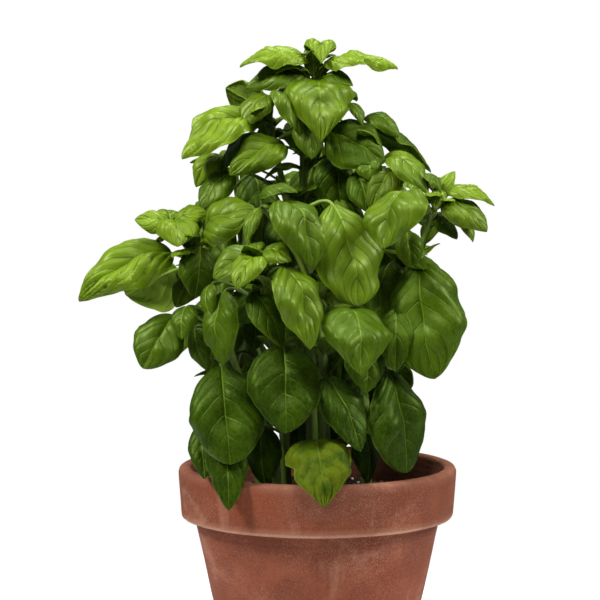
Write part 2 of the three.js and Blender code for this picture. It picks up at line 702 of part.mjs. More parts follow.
// A stem with its leaves, as loose solids that are then joined, and the hole that it stands in.
function stemSolids(stem) {
  const solids = [];
  const blades = [];
  let hole = null;
  for (const shoot of stem.shoots) {
    const points = shoot.path.map(seen);
    if (shoot.root) {
      const [x, y] = shoot.root;
      for (const z of [SOIL_TOP + 4, SOIL_TOP - ROOT_DEPTH]) points.unshift(new THREE.Vector3(x, y, z));
      const bore = new THREE.CylinderGeometry(1, 1, 1, HOLE_STEPS).rotateX(Math.PI / 2);
      bore.scale(shoot.radius[0] + 2 * SEAT_GAP, shoot.radius[0] + 2 * SEAT_GAP, 2 * ROOT_DEPTH);
      bore.translate(x, y, SOIL_TOP - SEAT_GAP);
      hole = solidOf(bore);
    }
    const curve = new THREE.CatmullRomCurve3(points, false, "centripetal");
    solids.push(rod(points, ...shoot.radius, STEM_SIDES, Math.round(STEM_STEPS_PER_POINT * points.length)));
    const placed = (shoot.leaves ?? []).map((row) => {
      const leaf = leafRow(row);
      return { ...leaf, anchor: anchorOn(curve, leaf.base) };
    });
    const grown = (shoot.grown ?? []).map((row, i) => grownLeaf(curve, row, i));
    for (const leaf of [...placed, ...grown]) {
      const frame = bladeFrame(leaf);
      blades.push({ leaf, frame, solid: leafSolid(leaf, frame) });
    }
  }
  return { solids, blades, hole };
}

// One closed solid of a stem and its leaves; a loose scrap that the union leaves is dropped.
function grownTogether(stem) {
  const whole = Manifold.union([...stem.solids, ...stem.blades.map((b) => b.solid)]);
  return whole.decompose().sort((a, b) => b.volume() - a.volume())[0];
}

const plant = new THREE.Group();
const made = STEMS.map((stem) => ({ ...stem, ...stemSolids(stem) }));
plant.add(meshOf("pot", makePot(), TERRACOTTA));
plant.add(meshOf("soil", makeSoil(made.map((stem) => stem.hole)), COMPOST));
for (const stem of made) plant.add(meshOf(stem.name, grownTogether(stem), leafMaterial(stem.colour)));

export default plant;
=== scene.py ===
"""A basil plant in a terracotta pot: the pot, its compost, its leafy stems, and the studio round them.

Lengths in the tables are millimetres, and everything that reaches Blender is in metres, +Z up, the origin
at the middle of the pot's foot. The stems are set out as in the part's solids, and are then made fine:
every blade gets its veins, its puckers and its thin edge, and every stalk runs on as a rib under its blade.
"""

import math

import bpy
import numpy as np
from mathutils import Matrix, Vector, noise


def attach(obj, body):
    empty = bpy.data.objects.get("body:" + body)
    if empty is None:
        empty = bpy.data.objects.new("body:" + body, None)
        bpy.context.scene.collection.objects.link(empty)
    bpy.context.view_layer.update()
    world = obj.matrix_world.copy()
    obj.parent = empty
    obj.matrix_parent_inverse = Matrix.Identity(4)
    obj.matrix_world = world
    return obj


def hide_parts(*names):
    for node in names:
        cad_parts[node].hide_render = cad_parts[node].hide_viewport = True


bl_info = {
    "name": "Potted basil",
    "version": (1, 0, 0),
    "blender": (4, 5, 0),
    "location": "View3D > Sidebar > Basil",
    "description": "Makes a basil plant in a terracotta pot, piece by piece",
    "category": "Add Mesh",
}

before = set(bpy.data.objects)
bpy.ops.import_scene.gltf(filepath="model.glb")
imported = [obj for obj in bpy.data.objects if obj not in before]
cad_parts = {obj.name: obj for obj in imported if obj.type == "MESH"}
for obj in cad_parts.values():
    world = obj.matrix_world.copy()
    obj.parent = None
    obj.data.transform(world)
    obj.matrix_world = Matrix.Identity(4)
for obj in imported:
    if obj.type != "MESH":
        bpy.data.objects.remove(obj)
bpy.ops.object.select_all(action="DESELECT")
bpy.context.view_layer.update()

MM = 0.001
UP = np.array([0.0, 0.0, 1.0])

# The pot and its filling, as in the solids.
POT_HEIGHT = 132
COLLAR_HEIGHT = 27.5
COLLAR_TOP_RADIUS = 75
COLLAR_FOOT_RADIUS = 73.4
BODY_TOP_RADIUS = 66.5
FOOT_RADIUS = 44
MOUTH_RADIUS = 67.6
WALL = 7
FLOOR = 9
DRAIN_HOLES = 3
DRAIN_RADIUS = 4.5
DRAIN_RING_RADIUS = 21
LIP_ROUND = 3
EDGE_ROUND = 2
COLLAR_FOOT = POT_HEIGHT - COLLAR_HEIGHT
SHOULDER = COLLAR_FOOT + WALL
SOIL_TOP = 114
SOIL_LUMP = 1.4
SEAT_GAP = 0.3
ROOT_DEPTH = 28

# The blades and stalks, as in the solids.
OUTLINE_TAPER = 1.24
BLADE_ROOT_HALF = 0.8
BLADE_TIP_HALF = 0.3
PLAIN_ARCH = 0.16
PLAIN_CUP = 28
PLAIN_WAIST = 0.44
ARCH_POWER = 0.8
OUTWARD_SHARE = 0.5
STALK_RADIUS = 0.85
STALK_ROOT_SWELL = 1.25
STALK_END_SWELL = 0.9
STALK_SPRING = 0.12
STALK_RUN_IN = 0.35
STALK_RISE = 0.45
ANCHOR_TRIES = 60
NEARNESS_SHARE = 0.2
GROWN_STALK = 0.27
GROWN_STALK_RISE = 0.16
GROWN_WIDTH = 0.64
GROWN_ROLL = 18
GROWN_ROLL_STEP = 2.4

# The eye that the stems are set out for, and the same eye as a camera.
EYE_HEIGHT = 319
EYE_DISTANCE = 1250
EYE_PITCH = 4.47
EYE_LENS = 139.8
EYE_SHIFT = -0.029

# The stems. Each has its shoots, the first of them rooted in the compost at x and y; a shoot's radius runs
# from its foot to its tip. A leaf's row is its blade's base and tip, its width, its roll, the arch of its
# midrib, the cup of its sides and its waist; its tone runs from a dark leaf, 0, to a light one, 1. The tone
# is partly the leaf's age, old and dark or young and light, and partly painted light and shade: the leaves at
# the back and deep in the plant get darker tones, and some that lie in other leaves' shade get lighter ones.
# By the leaf's number, yellowing says how yellow it is, and ridged what share of its folds it keeps. A grown
# leaf is how far up its shoot, its bearing, its length and how far it droops.
CENTRE = dict(
    name="leafy_stem_centre",
    shoots=[
        dict(
            path=[[-3, 150, 0], [-5, 210, -2], [-7, 260, -3], [-7, 300, -3], [-2, 335, -4], [0, 351, -6]],
            root=[-3, 0],
            radius=[3.4, 1.6],
            tones=[
                0.9, 0.75, 0.8, 0.8, 0.95, 0.95, 0.7, 0.55, 0.5, 0.5,
                0.65, 0.25, 0.45, 0.35, 0.5, 0.15, 0.1, 0.3, 0.4, 0.45,
                0.1,
            ],
            ridged={6: 0.6},
            leaves=[
                [[1, 353, 2], [2, 348, -20], 18, 0, 0.38, 25, 0.3],
                [[0, 352, -6], [-1, 354, 14], 15, 0, 0.2, 25],
                [[-2, 350, -8], [-10, 353, -12], 6, 0, 0.2, 25],
                [[3, 350, -8], [10, 352, -12], 6, 0, 0.2, 25],
                [[-5, 348.5, -5], [-41.5, 346, -12], 25, -16, 0.15, 25, 0.38],
                [[4, 347.5, -5], [43, 345, -12], 26, 9, 0.1, 25, 0.32],
                [[0, 339, -10], [2, 306, -32], 39, 0, 0.2, 25, 0.26],
                [[2, 333, 3], [21, 328, 26], 19, 0, 0.15, 25],
                [[-6, 341, -6], [-38, 335, -6], 24, -30, 0.16, 25],
                [[4, 341, -8], [19, 336, -14], 15, 30, 0.2, 25],
                [[-17, 304, -16], [-47, 288.5, -32], 23, -38, 0.2, 30],
                [[6, 312, -16], [36, 295, -26], 32, 55, 0.12, 20],
                [[-6, 318, -16], [-3, 297, -26], 18, 0, 0.15, 25],
                [[-4, 316, 8], [-8, 298, 40], 27, 0, 0.18, 25],
                [[-8, 291, -2], [-29, 285.5, -8], 16, 0, 0.25, 25],
                [[8, 298, -8], [11, 262, -22], 28, 0, 0.12, 25],
                [[-14, 274, -6], [-16, 236, -22], 31, 0, 0.12, 25],
                [[24, 314, -4], [61, 290, -8], 22, -30, 0.12, 20],
                [[25, 319, -8], [44, 308.5, -12], 19, 20, 0.25, 30],
                [[17, 327, -14], [24, 315, -20], 10, 10, 0.2, 25],
                [[-12, 226, -12], [-17, 190, -24], 26, 0, 0.14, 28],
            ],
            grown=[
                [0.38, 108, 38, 40],
                [0.5, 335, 40, 35],
                [0.5, 165, 40, 35],
                [0.6, 30, 32, 25],
                [0.7, 330, 32, 25],
            ],
        ),
        dict(
            path=[[-6, 240, -2], [-14, 265, 0], [-21, 295, -4], [-25, 315, -7], [-25, 328, -10]],
            radius=[2, 1.2],
            tones=[0.65, 0.6, 0.6, 1.0, 0.9, 0.55, 0.25, 0.95, 0.4, 0.35, 0.2],
            yellowing={3: 0.3},
            leaves=[
                [[-26, 331, -12], [-38, 314.5, -23], 21, -8, 0.2, 25],
                [[-23, 333, -14], [-10, 310, -26], 26, -12, 0.22, 25],
                [[-22, 329, -6], [-14, 335, -2], 12, 0, 0.2, 25],
                [[-28, 320, 10], [-49, 335, 20], 26, 75, 0.1, 20],
                [[-32, 319, -6], [-72.5, 297, -22], 37, -22, 0.17, 25, 0.48],
                [[-24, 319, 0], [-33, 313, -2], 9, -10, 0.2, 25],
                [[-35, 311, -3], [-51, 290, -12], 27, 0, 0.15, 25, 0.5],
                [[-50, 298, 2], [-65, 282, -6], 19, -30, 0.3, 40],
                [[-46, 290, -10], [-62, 270, -20], 22, -20, 0.15, 30],
                [[-48, 292, -2], [-61, 279, -4], 16, -10, 0.2, 30],
                [[-26, 314, 6], [-30, 296, 2], 20, 0, 0.16, 28],
            ],
        ),
        dict(
            path=[[-6, 235, -2], [4, 250, 0], [18, 275, -6], [30, 290, -14], [35, 298, -18]],
            radius=[2, 1.2],
            tones=[0.65, 0.45, 0.25, 0.45, 0.45],
            yellowing={3: 0.5},
            leaves=[
                [[38, 297, -22], [59, 278, -36], 25, 5, 0.2, 25],
                [[27, 297, -26], [29, 285, -32], 15, 0, 0.2, 25],
                [[21, 290, -22], [28, 268, -34], 18, 10, 0.15, 35],
                [[42, 291, -24], [29, 271, -36], 21, 0, 0.22, 30],
                [[57, 289, -28], [66, 280, -34], 12, 0, 0.2, 25],
            ],
        ),
    ],
)

LEFT = dict(
    name="leafy_stem_left",
    shoots=[
        dict(
            path=[[-34, 150, -12], [-46, 190, -20], [-58, 225, -22], [-68, 246, -23], [-77, 263, -24]],
            root=[-30, -10],
            radius=[3, 1.4],
            tones=[
                0.85, 0.8, 0.8, 0.8, 0.75, 0.8, 0.95, 0.25, 0.15, 0.7,
                0.4, 0.35, 0.3, 0.15, 0.1, 0.1,
            ],
            ridged={6: 0.5},
            leaves=[
                [[-80, 262.6, -24.5], [-98, 264.5, -26], 16, -50, 0.1, 30],
                [[-79, 264, -20], [-81, 269.5, -8], 14, 0, 0.2, 25],
                [[-76.6, 264, -24], [-59, 268, -26], 16, 35, 0.15, 25],
                [[-76, 262, -24], [-75, 250, -42], 25, 0, 0.3, 30],
                [[-76, 257, -20], [-88, 251, -16], 10, 0, 0.15, 25],
                [[-78, 246.5, -20], [-128.5, 221, -36], 34, -38, 0.17, 25],
                [[-75.3, 238.2, -4], [-103, 224, 12.4], 38, 62, 0.1, 20, 0.54],
                [[-63, 250, -24], [-66, 222, -32], 22, 0, 0.15, 30],
                [[-64.3, 235.2, -22.4], [-76.2, 217.3, -26.3], 18, -35, 0.15, 25],
                [[-61, 257, -26], [-33, 270, -38], 36, 45, 0.2, 30],
                [[-77.3, 213.2, -34.4], [-94.1, 184.2, -44.2], 28, -50, 0.1, 25, 0.5],
                [[-70, 218, -34], [-73, 200, -44], 17, 0, 0.2, 30],
                [[-66, 205, -24], [-60, 183.5, -28], 15, 0, 0.1, 25],
                [[-52, 186, -50], [-47, 132, -72], 42, 0, 0.14, 30, 0.56],
                [[-51, 152, -50], [-48, 107, -71], 23, -12, 0.16, 30, 0.42],
                [[-62, 154, -38], [-61, 124, -56], 17, 0, 0.12, 25],
            ],
            grown=[
                [0.42, 125, 34, 55],
                [0.5, 105, 30, 50],
                [0.68, 150, 36, 35],
                [0.82, 110, 30, 25],
            ],
        ),
    ],
)

FRONT_LEFT = dict(
    name="leafy_stem_front_left",
    shoots=[
        dict(
            path=[[-18, 150, -36], [-24, 200, -48], [-30, 235, -56], [-31, 247, -58]],
            root=[-16, -30],
            radius=[2.8, 1.4],
            tones=[0.65, 0.75, 0.7, 0.75, 0.65, 0.25, 0.5, 0.35, 0.1, 0.1],
            leaves=[
                [[-33, 246, -60], [-56, 233, -66], 25, -40, 0.17, 25],
                [[-31, 243, -64], [-43, 227, -80], 20, 0, 0.25, 25],
                [[-29, 247, -60], [-14, 242, -66], 19, 30, 0.28, 30],
                [[-32, 248, -58], [-32, 252, -48], 8, 0, 0.2, 25],
                [[-18, 239, -64], [-4, 194.5, -80], 33, 0, 0.14, 28],
                [[-35, 226, -54], [-19, 195.5, -64], 22, 0, 0.12, 25],
                [[-57, 230, -46], [-57, 210.5, -54], 13, 0, 0.2, 35],
                [[-50, 226, -50], [-50.5, 186, -62], 29, 0, 0.14, 30, 0.5],
                [[-18.5, 197, -58], [-17, 149, -76], 41, 0, 0.12, 28, 0.46],
                [[-30, 152, -42], [-28, 120, -54], 22, 0, 0.14, 28],
            ],
        ),
    ],
)

FRONT = dict(
    name="leafy_stem_front",
    shoots=[
        dict(
            path=[[4, 150, -36], [2, 200, -42], [-8, 240, -42], [-22, 262, -42], [-30, 273, -43]],
            root=[6, -32],
            radius=[3, 1.4],
            tones=[0.4, 0.6, 0.6, 0.5, 0.68, 0.4, 0.0, 0.2, 0.22, 0.05],
            yellowing={8: 0.9},
            ridged={4: 0.35, 5: 0.7, 8: 0.6},
            leaves=[
                [[-30, 275, -43], [-10.5, 279, -50], 23, 8, 0.3, 32],
                [[-31, 271, -45], [-38, 252, -54], 11, 0, 0.15, 25],
                [[-30, 272, -46], [-22, 270, -50], 6, 10, 0.2, 25],
                [[-20, 274, -48], [-3, 238.5, -66], 35, 0, 0.24, 30, 0.42],
                [[8, 273, -44], [22, 218, -62], 42, 24, 0.12, 32, 0.56],
                [[17, 217, -58], [23.5, 181, -80], 38, 0, 0.2, 28, 0.36],
                [[4, 180, -54], [23.5, 139, -69], 26, 8, 0.12, 28],
                [[25, 198, -50], [26, 171, -62], 26, 0, 0.15, 30],
                [[-1, 145, -58], [4, 108.5, -84], 37, 0, 0.2, 24, 0.34],
                [[24, 150, -36], [27, 121, -48], 21, 0, 0.14, 28],
            ],
        ),
    ],
)

RIGHT = dict(
    name="leafy_stem_right",
    shoots=[
        dict(
            path=[[30, 150, -12], [42, 200, -20], [54, 245, -24], [61, 265, -25], [66, 280, -26]],
            root=[26, -10],
            radius=[3, 1.4],
            tones=[0.85, 0.65, 0.7, 0.6, 0.25, 0.65, 0.4, 0.15, 0.38, 0.25, 0.05, 0.75],
            yellowing={1: 0.2, 11: 0.4},
            ridged={8: 0.8},
            leaves=[
                [[68, 278, -26], [95, 272, -28], 18, 15, 0.2, 25],
                [[67, 273, -28], [91, 258, -36], 26, 20, 0.2, 45],
                [[66, 280, -28], [63, 270, -38], 10, 0, 0.2, 25],
                [[62, 280, -22], [66, 287, -12], 9, 0, 0.2, 25],
                [[58, 267, -16], [75, 254, -20], 22, 20, 0.2, 25],
                [[51, 278.5, -50], [36, 249, -72], 42, 12, 0.24, 30, 0.5],
                [[48, 258, -36], [51, 238, -42], 16, 0, 0.15, 25],
                [[38, 240, -28], [34, 204, -40], 27, 0, 0.12, 25],
                [[55.5, 241, -38], [63, 178.5, -54], 47, 38, 0.14, 38, 0.48],
                [[43, 217, -48], [42, 182.5, -58], 20, 0, 0.12, 25],
                [[37.5, 184, -45], [48.5, 127.5, -53], 39, -8, 0.12, 28, 0.6],
                [[74, 268, -18], [83.5, 252.5, -24], 18, 10, 0.15, 25],
            ],
            grown=[
                [0.42, 40, 34, 60],
                [0.56, 90, 32, 45],
                [0.7, 65, 34, 35],
                [0.84, 112, 28, 30],
            ],
        ),
    ],
)

BACK_LEFT = dict(
    name="leafy_stem_back_left",
    shoots=[
        dict(
            path=[[-26, 150, 26], [-34, 200, 34], [-40, 245, 40], [-43, 280, 43], [-44, 292, 44]],
            root=[-22, 22],
            radius=[2.8, 1.4],
            tones=[0.15, 0.1, 0.2],
            leaves=[
                [[-34, 288, 32], [-31, 247, 24], 30, 0, 0.14, 28],
                [[-34, 232, 26], [-34, 194, 16], 29, 0, 0.14, 28],
                [[-50, 264, 26], [-58, 232, 16], 26, 0, 0.14, 28],
            ],
            grown=[
                [0.42, 140, 50, 60],
                [0.5, 112, 52, 58],
                [0.62, 200, 46, 45],
                [0.62, 120, 54, 50],
                [0.74, 170, 46, 40],
                [0.74, 80, 46, 40],
                [0.87, 120, 40, 25],
                [0.94, 75, 26, 15],
                [1, 190, 20, 0],
                [1, 100, 24, -5],
                [1, 10, 18, 0],
                [0.48, 195, 38, 65],
                [0.58, 228, 40, 55],
                [0.72, 232, 36, 50],
                [0.86, 225, 32, 35],
            ],
        ),
    ],
)

BACK = dict(
    name="leafy_stem_back",
    shoots=[
        dict(
            path=[[3, 150, 33], [5, 200, 38], [4, 250, 42], [3, 290, 44], [2, 306, 44]],
            root=[4, 30],
            radius=[3, 1.4],
            tones=[0.15, 0.1, 0.05, 0.0],
            leaves=[
                [[-2, 293, 30], [-6, 258, 20], 30, 0, 0.14, 28],
                [[9, 256, 32], [9, 216, 23], 32, 0, 0.14, 28],
                [[14, 212, 28], [12, 176, 18], 26, 0, 0.14, 28],
                [[-2, 182, 26], [-11, 134, 12], 34, 0, 0.14, 28],
            ],
            grown=[
                [0.4, 75, 54, 60],
                [0.5, 110, 46, 58],
                [0.58, 80, 54, 50],
                [0.66, 64, 46, 40],
                [0.66, 140, 48, 40],
                [0.78, 90, 50, 35],
                [0.88, 35, 38, 20],
                [0.88, 145, 36, 20],
                [0.95, 90, 36, 15],
                [1, 180, 22, 0],
                [1, 60, 24, 0],
                [1, 340, 18, 0],
            ],
        ),
    ],
)

BACK_RIGHT = dict(
    name="leafy_stem_back_right",
    shoots=[
        dict(
            path=[[31, 150, 23], [39, 200, 30], [45, 240, 35], [48, 265, 38], [49, 278, 39]],
            root=[27, 18],
            radius=[2.8, 1.4],
            tones=[0.15, 0.0],
            leaves=[
                [[38, 268, 28], [35, 234, 20], 26, 0, 0.14, 28],
                [[22, 176, 20], [11, 138, 8], 32, 0, 0.14, 28],
            ],
            grown=[
                [0.42, 96, 44, 55],
                [0.5, 80, 40, 60],
                [0.6, 104, 46, 50],
                [0.66, 60, 50, 50],
                [0.78, 84, 44, 35],
                [0.8, 50, 32, 50],
                [0.92, 70, 38, 20],
                [0.92, 340, 22, 10],
                [1, 70, 18, 0],
                [1, 110, 24, 0],
                [1, 220, 18, 0],
                [0.58, 0, 28, 50],
                [0.64, 330, 36, 60],
                [0.8, 325, 30, 50],
            ],
        ),
    ],
)

STEMS = [CENTRE, LEFT, FRONT_LEFT, FRONT, RIGHT, BACK_LEFT, BACK, BACK_RIGHT]

# How the fine blades differ from the plain ones of the solids: from where and how far a blade is drawn in to
# a point, and how much wider it is cut to make up for it.
TIP_FROM = 0.45
TIP_POINT = 0.24
BLADE_SPREAD = 1.03

# Each leaf has its own share of a turn, by which its patterns are shifted so that no two leaves are alike. A
# PACE below says how fast such a pattern runs, and a pair of numbers is a middle or least value and how far
# it swings or what is added, unless its comment says otherwise.
GOLDEN_SHARE = 0.618034

# A blade's pairs of side veins: one more for each step of its length, and fewer on a young blade.
VEIN_PAIRS = 3.2
PAIR_STEP = 22
PAIR_RANGE = (3.8, 6.2)
YOUNG_PAIRS = 0.12
# How the side veins sweep on towards the tip, curl in at the margin and wander. A wave's row is its height,
# its pace along and across the blade, and how far the leaf's own turn and its hand shift it.
VEIN_SWEEP = 0.15
YOUNG_SWEEP = 0.3
VEIN_CURL = 0.24
VEIN_WANDER = 0.16
VEIN_WAVES = ((1.0, 5.2, 2.6, 1, 1.9), (0.6, 11.0, -4.1, 2, 1.0))
HAND_SHIFT = 0.25

# The teeth of the margins start between these places, and the bites of an old leaf lie round one place.
TEETH_START = (0.12, 0.35)
TEETH_LEVEL = 0.6
BITE_PLACE = 0.5
BITE_SPREAD = 0.09
BITE_LEAN = 0.6
SWAY_TURNS = 3
LEAST_U = 0.02

# The relief of a blade. Its puckers grow with its tone, and short blades have shallower ones.
PUCKER_POWER = 1.4
YELLOW_PUCKER = 0.5
FULL_RELIEF_LENGTH = 40
LEAST_RELIEF = 0.35
MARGIN_CALM = 0.72
# The folds between the side veins differ from field to field in height, and some fields are split in two.
FIELD_HEIGHT = (0.7, 0.6)
FIELD_PACE = (12.9, 4.1)
FOLD_POWER = (0.55, 0.6)
SPLIT_SHARE = 0.38
SPLIT_PACE = (2.3, 1.7)
SPLIT_BEND = (1.3, 3.1)
# The groove over the midrib: its half width, and how its depth goes with the blade's tone and length, between
# a least and a greatest share, and along the blade.
GROOVE_HALF = 0.8
GROOVE_TONE = 1.2
GROOVE_LENGTH = 45
GROOVE_RANGE = (0.4, 1.2)
GROOVE_FADE = 0.7
CURL_FROM = 0.7
# The margins' waves, the twist of the tip, the slow billow of the whole blade with its paces along and
# across it, and the fine crumples with theirs across and along, most of all on a yellow leaf.
WAVE_TONE = 0.4
WAVE_LENGTH = 42
WAVE_PACE = (1.35, 0.5, 6.1)
TWIST_TURNS = 5
BILLOW_PACES = ((1.7, 0.35), (-0.5, 0.62))
BILLOW_TONE = (0.8, 0.4)
CRUMPLE_PACES = ((1.9, 1.1), (-0.8, 1.6))
YELLOW_CRUMPLE = 0.35

# The tone of a grown leaf follows its height.
TONE_HEIGHTS = (150, 330)
GROWN_TONES = (0.15, 0.75)
GROWN_TONE_STEP = (0.12, 7.7)

# Pairs of small leaves in the corners between a shoot and its larger leaves: how long those leaves are, how
# far up the shoot and how high, and the small ones' length, width, bearing from the leaf, rise above level,
# and start out from the shoot and up.
AXIL_FROM = 26
AXIL_TO = 0.95
AXIL_ABOVE = 172
AXIL_LENGTH = 17
AXIL_LENGTH_SWING = 0.3
AXIL_WIDTH = 0.6
AXIL_BEARING = (62, 20)
AXIL_RISE = (30, 25)
AXIL_START = (3, 2.5)
AXIL_ROLL = 15
AXIL_ARCH = 0.22
AXIL_PACE = (5.3, 2.1, 3.7)
AXIL_TONE = 0.15
AXIL_TONE_LIMIT = 0.9
AXIL_SEEDS = 50


# ---- the shapes of the leaves ----

def vector(*parts):
    """Numbers as a vector."""
    return np.array(parts, float)


def unit(v):
    """A vector of the same direction, 1 long."""
    return v / max(np.linalg.norm(v), 1e-12)


def eased(low, high, x):
    """0 below low, 1 above high, and smooth between."""
    t = np.clip((x - low) / (high - low), 0, 1)
    return t * t * (3 - 2 * t)


def seen(spot):
    """A point read off the upright plane through the pot's axis, moved along the sight line to its depth."""
    x, z, depth = spot
    nearer = 1 + depth / EYE_DISTANCE
    return vector(x * nearer, depth, EYE_HEIGHT + (z - EYE_HEIGHT) * nearer)


class Shoot:
    """A smooth line through points, run along at an even pace."""

    PIECES = 200

    def __init__(self, points):
        self.points = [np.array(p, float) for p in points]
        self.spots = np.array([self.raw(i / self.PIECES) for i in range(self.PIECES + 1)])
        steps = np.linalg.norm(np.diff(self.spots, axis=0), axis=1)
        self.run = np.concatenate([[0.0], np.cumsum(steps)])

    def raw(self, t):
        """The line at t, with each step between two points the same share of it."""
        p = self.points
        last = len(p) - 1
        i = min(int(last * t), last - 1)
        w = last * t - i
        before = p[i - 1] if i > 0 else 2 * p[0] - p[1]
        after = p[i + 2] if i + 2 <= last else 2 * p[last] - p[last - 1]
        q = [before, p[i], p[i + 1], after]
        d = [math.sqrt(np.linalg.norm(b - a)) for a, b in zip(q, q[1:])]
        start = ((q[1] - q[0]) / d[0] - (q[2] - q[0]) / (d[0] + d[1]) + (q[2] - q[1]) / d[1]) * d[1]
        end = ((q[2] - q[1]) / d[1] - (q[3] - q[1]) / (d[1] + d[2]) + (q[3] - q[2]) / d[2]) * d[1]
        square = 3 * (q[2] - q[1]) - 2 * start - end
        cube = 2 * (q[1] - q[2]) + start + end
        return q[1] + start * w + square * w**2 + cube * w**3

    def at(self, share):
        """The line at a share of its length."""
        spot = np.interp(share * self.run[-1], self.run, np.linspace(0, 1, self.PIECES + 1))
        return self.raw(spot)

    def anchor_for(self, base):
        """Where a leaf's stalk leaves the shoot: below its blade's base by a share of how far off it is."""
        best, least, place = None, math.inf, 0.0
        for i in range(ANCHOR_TRIES + 1):
            spot = self.at(i / ANCHOR_TRIES)
            off = math.hypot(base[0] - spot[0], base[1] - spot[1])
            miss = abs(base[2] - STALK_RISE * off - spot[2]) + NEARNESS_SHARE * off
            if miss < least:
                best, least, place = spot, miss, i / ANCHOR_TRIES
        return best, place


class Leaf:
    """One leaf: its stalk's foot, its blade's base and tip, and how its blade bends."""

    def __init__(self, anchor, place, base, tip, wide, roll, bend, tone, yellow, seed, ridged=1.0):
        self.anchor, self.place, self.base, self.wide = anchor, place, base, wide
        self.arch, self.cup, self.waist = bend
        self.tone, self.yellow, self.ridged = tone, yellow, ridged
        self.seed = (seed * GOLDEN_SHARE) % 1.0
        along = tip - base
        self.length = np.linalg.norm(along)
        along = along / self.length
        away = (base + tip) / 2 - anchor
        away[2] = 0
        out = unit(vector(along[0], along[1], 0) + OUTWARD_SHARE * unit(away))
        face = unit(UP * (along @ out) - out * along[2])
        turn = Matrix.Rotation(math.radians(roll), 3, Vector(along))
        self.along = along
        self.face = np.array(turn @ Vector(face))
        self.side = np.cross(along, self.face)
        pairs = np.clip(VEIN_PAIRS + self.length / PAIR_STEP, *PAIR_RANGE)
        self.pairs = float(pairs * (1 - YOUNG_PAIRS * self.tone))

    def half(self, u):
        """Half of the blade's width at u, in millimetres, drawn in to a point past its widest place."""
        opening = OUTLINE_TAPER * self.waist
        closing = OUTLINE_TAPER * (1 - self.waist)
        peak = self.waist**opening * (1 - self.waist) ** closing
        half = BLADE_SPREAD * self.wide / 2 * (u**opening * (1 - u) ** closing) / peak
        half = half * (1 - TIP_POINT * eased(TIP_FROM, 1, u))
        return np.maximum(half, np.where(u < self.waist, BLADE_ROOT_HALF, BLADE_TIP_HALF))

    def vein_phase(self, u, v):
        """A whole number on each side vein, which leaves the midrib, sweeps on to the tip and wanders."""
        hand = np.sign(v)
        across = np.abs(v)
        turn = 2 * math.pi * self.seed
        wander = sum(
            height * np.sin(along * u + out * across + turns * turn + shift * hand)
            for height, along, out, turns, shift in VEIN_WAVES
        )
        sweep = VEIN_SWEEP + YOUNG_SWEEP * self.tone
        straight = self.pairs * (u - sweep * across - VEIN_CURL * v * v)
        return straight + VEIN_WANDER * across**0.5 * wander + HAND_SHIFT * (self.seed - 0.5) * hand

    def blade(self, u, v, look):
        """Points of the upper face, the normals there, and the half widths; u runs along and v across."""
        seed = 2 * math.pi * self.seed
        phase = self.vein_phase(u, v)
        margin = self.vein_phase(u, np.sign(v) + (v == 0))
        teeth = look.teeth * eased(*TEETH_START, u) * (np.abs(np.sin(np.pi * margin)) - TEETH_LEVEL)
        bites = np.exp(-(((u - BITE_PLACE) / BITE_SPREAD) ** 2))
        teeth -= look.ragged * self.yellow * (1 + BITE_LEAN * np.sign(v)) * bites
        half = self.half(u) * (1 + teeth)
        safe = np.maximum(u, LEAST_U)
        bend = np.sin(np.pi * u**ARCH_POWER)
        slope = np.pi * ARCH_POWER * safe ** (ARCH_POWER - 1) * np.cos(np.pi * safe**ARCH_POWER)
        radius = self.wide / 2 / math.radians(self.cup)
        turn = v * half / radius
        rise = self.arch * self.length * bend - radius * (1 - np.cos(turn))
        sway = look.sway * self.length * math.sin(SWAY_TURNS * seed) * np.sin(np.pi * u)
        points = (
            self.base
            + np.outer(self.length * u, self.along)
            + np.outer(rise, self.face)
            + np.outer(radius * np.sin(turn) + sway, self.side)
        )
        lengthwise = self.along + np.outer(self.arch * slope, self.face)
        crosswise = np.outer(np.cos(turn), self.side) - np.outer(np.sin(turn), self.face)
        normals = np.cross(crosswise, lengthwise)
        normals /= np.linalg.norm(normals, axis=1)[:, None]
        lift = self.relief(u, v, half, phase, look, seed)
        return points + normals * lift[:, None], normals, half, phase

    def relief(self, u, v, half, phase, look, seed):
        """How far the upper face stands off a plain bent blade: its folds, swells, waves and twist."""
        across = np.abs(v)
        span, run = v * half, self.length * u
        strength = self.ridged * (look.plain_pucker + (1 - look.plain_pucker) * self.tone**PUCKER_POWER)
        strength += YELLOW_PUCKER * self.yellow
        grown = float(np.clip(self.length / FULL_RELIEF_LENGTH, LEAST_RELIEF, 1))
        body = across**0.5 * (1 - MARGIN_CALM * across**3) * np.sin(np.pi * np.clip(u, 0, 1)) ** 0.5
        folds = look.pucker * grown * self.length / self.pairs * strength * body * self.fold(phase, v, seed)
        swell = 4 * look.swell * half * across * (1 - across) * (0.5 + 0.5 * self.ridged)
        billow = look.billow * grown * half * self.billow(u, v, seed)
        groove = look.groove * (GROOVE_TONE - self.tone) * (1 - GROOVE_FADE * u)
        groove *= np.clip(self.length / GROOVE_LENGTH, *GROOVE_RANGE) * np.exp(-((span / GROOVE_HALF) ** 2))
        curl = look.curl * half * eased(CURL_FROM, 1, across) ** 2
        waves = look.wave * (WAVE_TONE + self.tone) * self.waves(u, v, seed)
        twist = look.twist * math.sin(TWIST_TURNS * seed) * span * u * u
        crumple = (look.crumple * strength + YELLOW_CRUMPLE * self.yellow) * body
        for turns, (out, along) in enumerate(CRUMPLE_PACES, start=1):
            crumple = crumple * np.sin(out * span + along * run + turns * seed)
        return folds + swell + billow - groove - curl + waves + twist + crumple

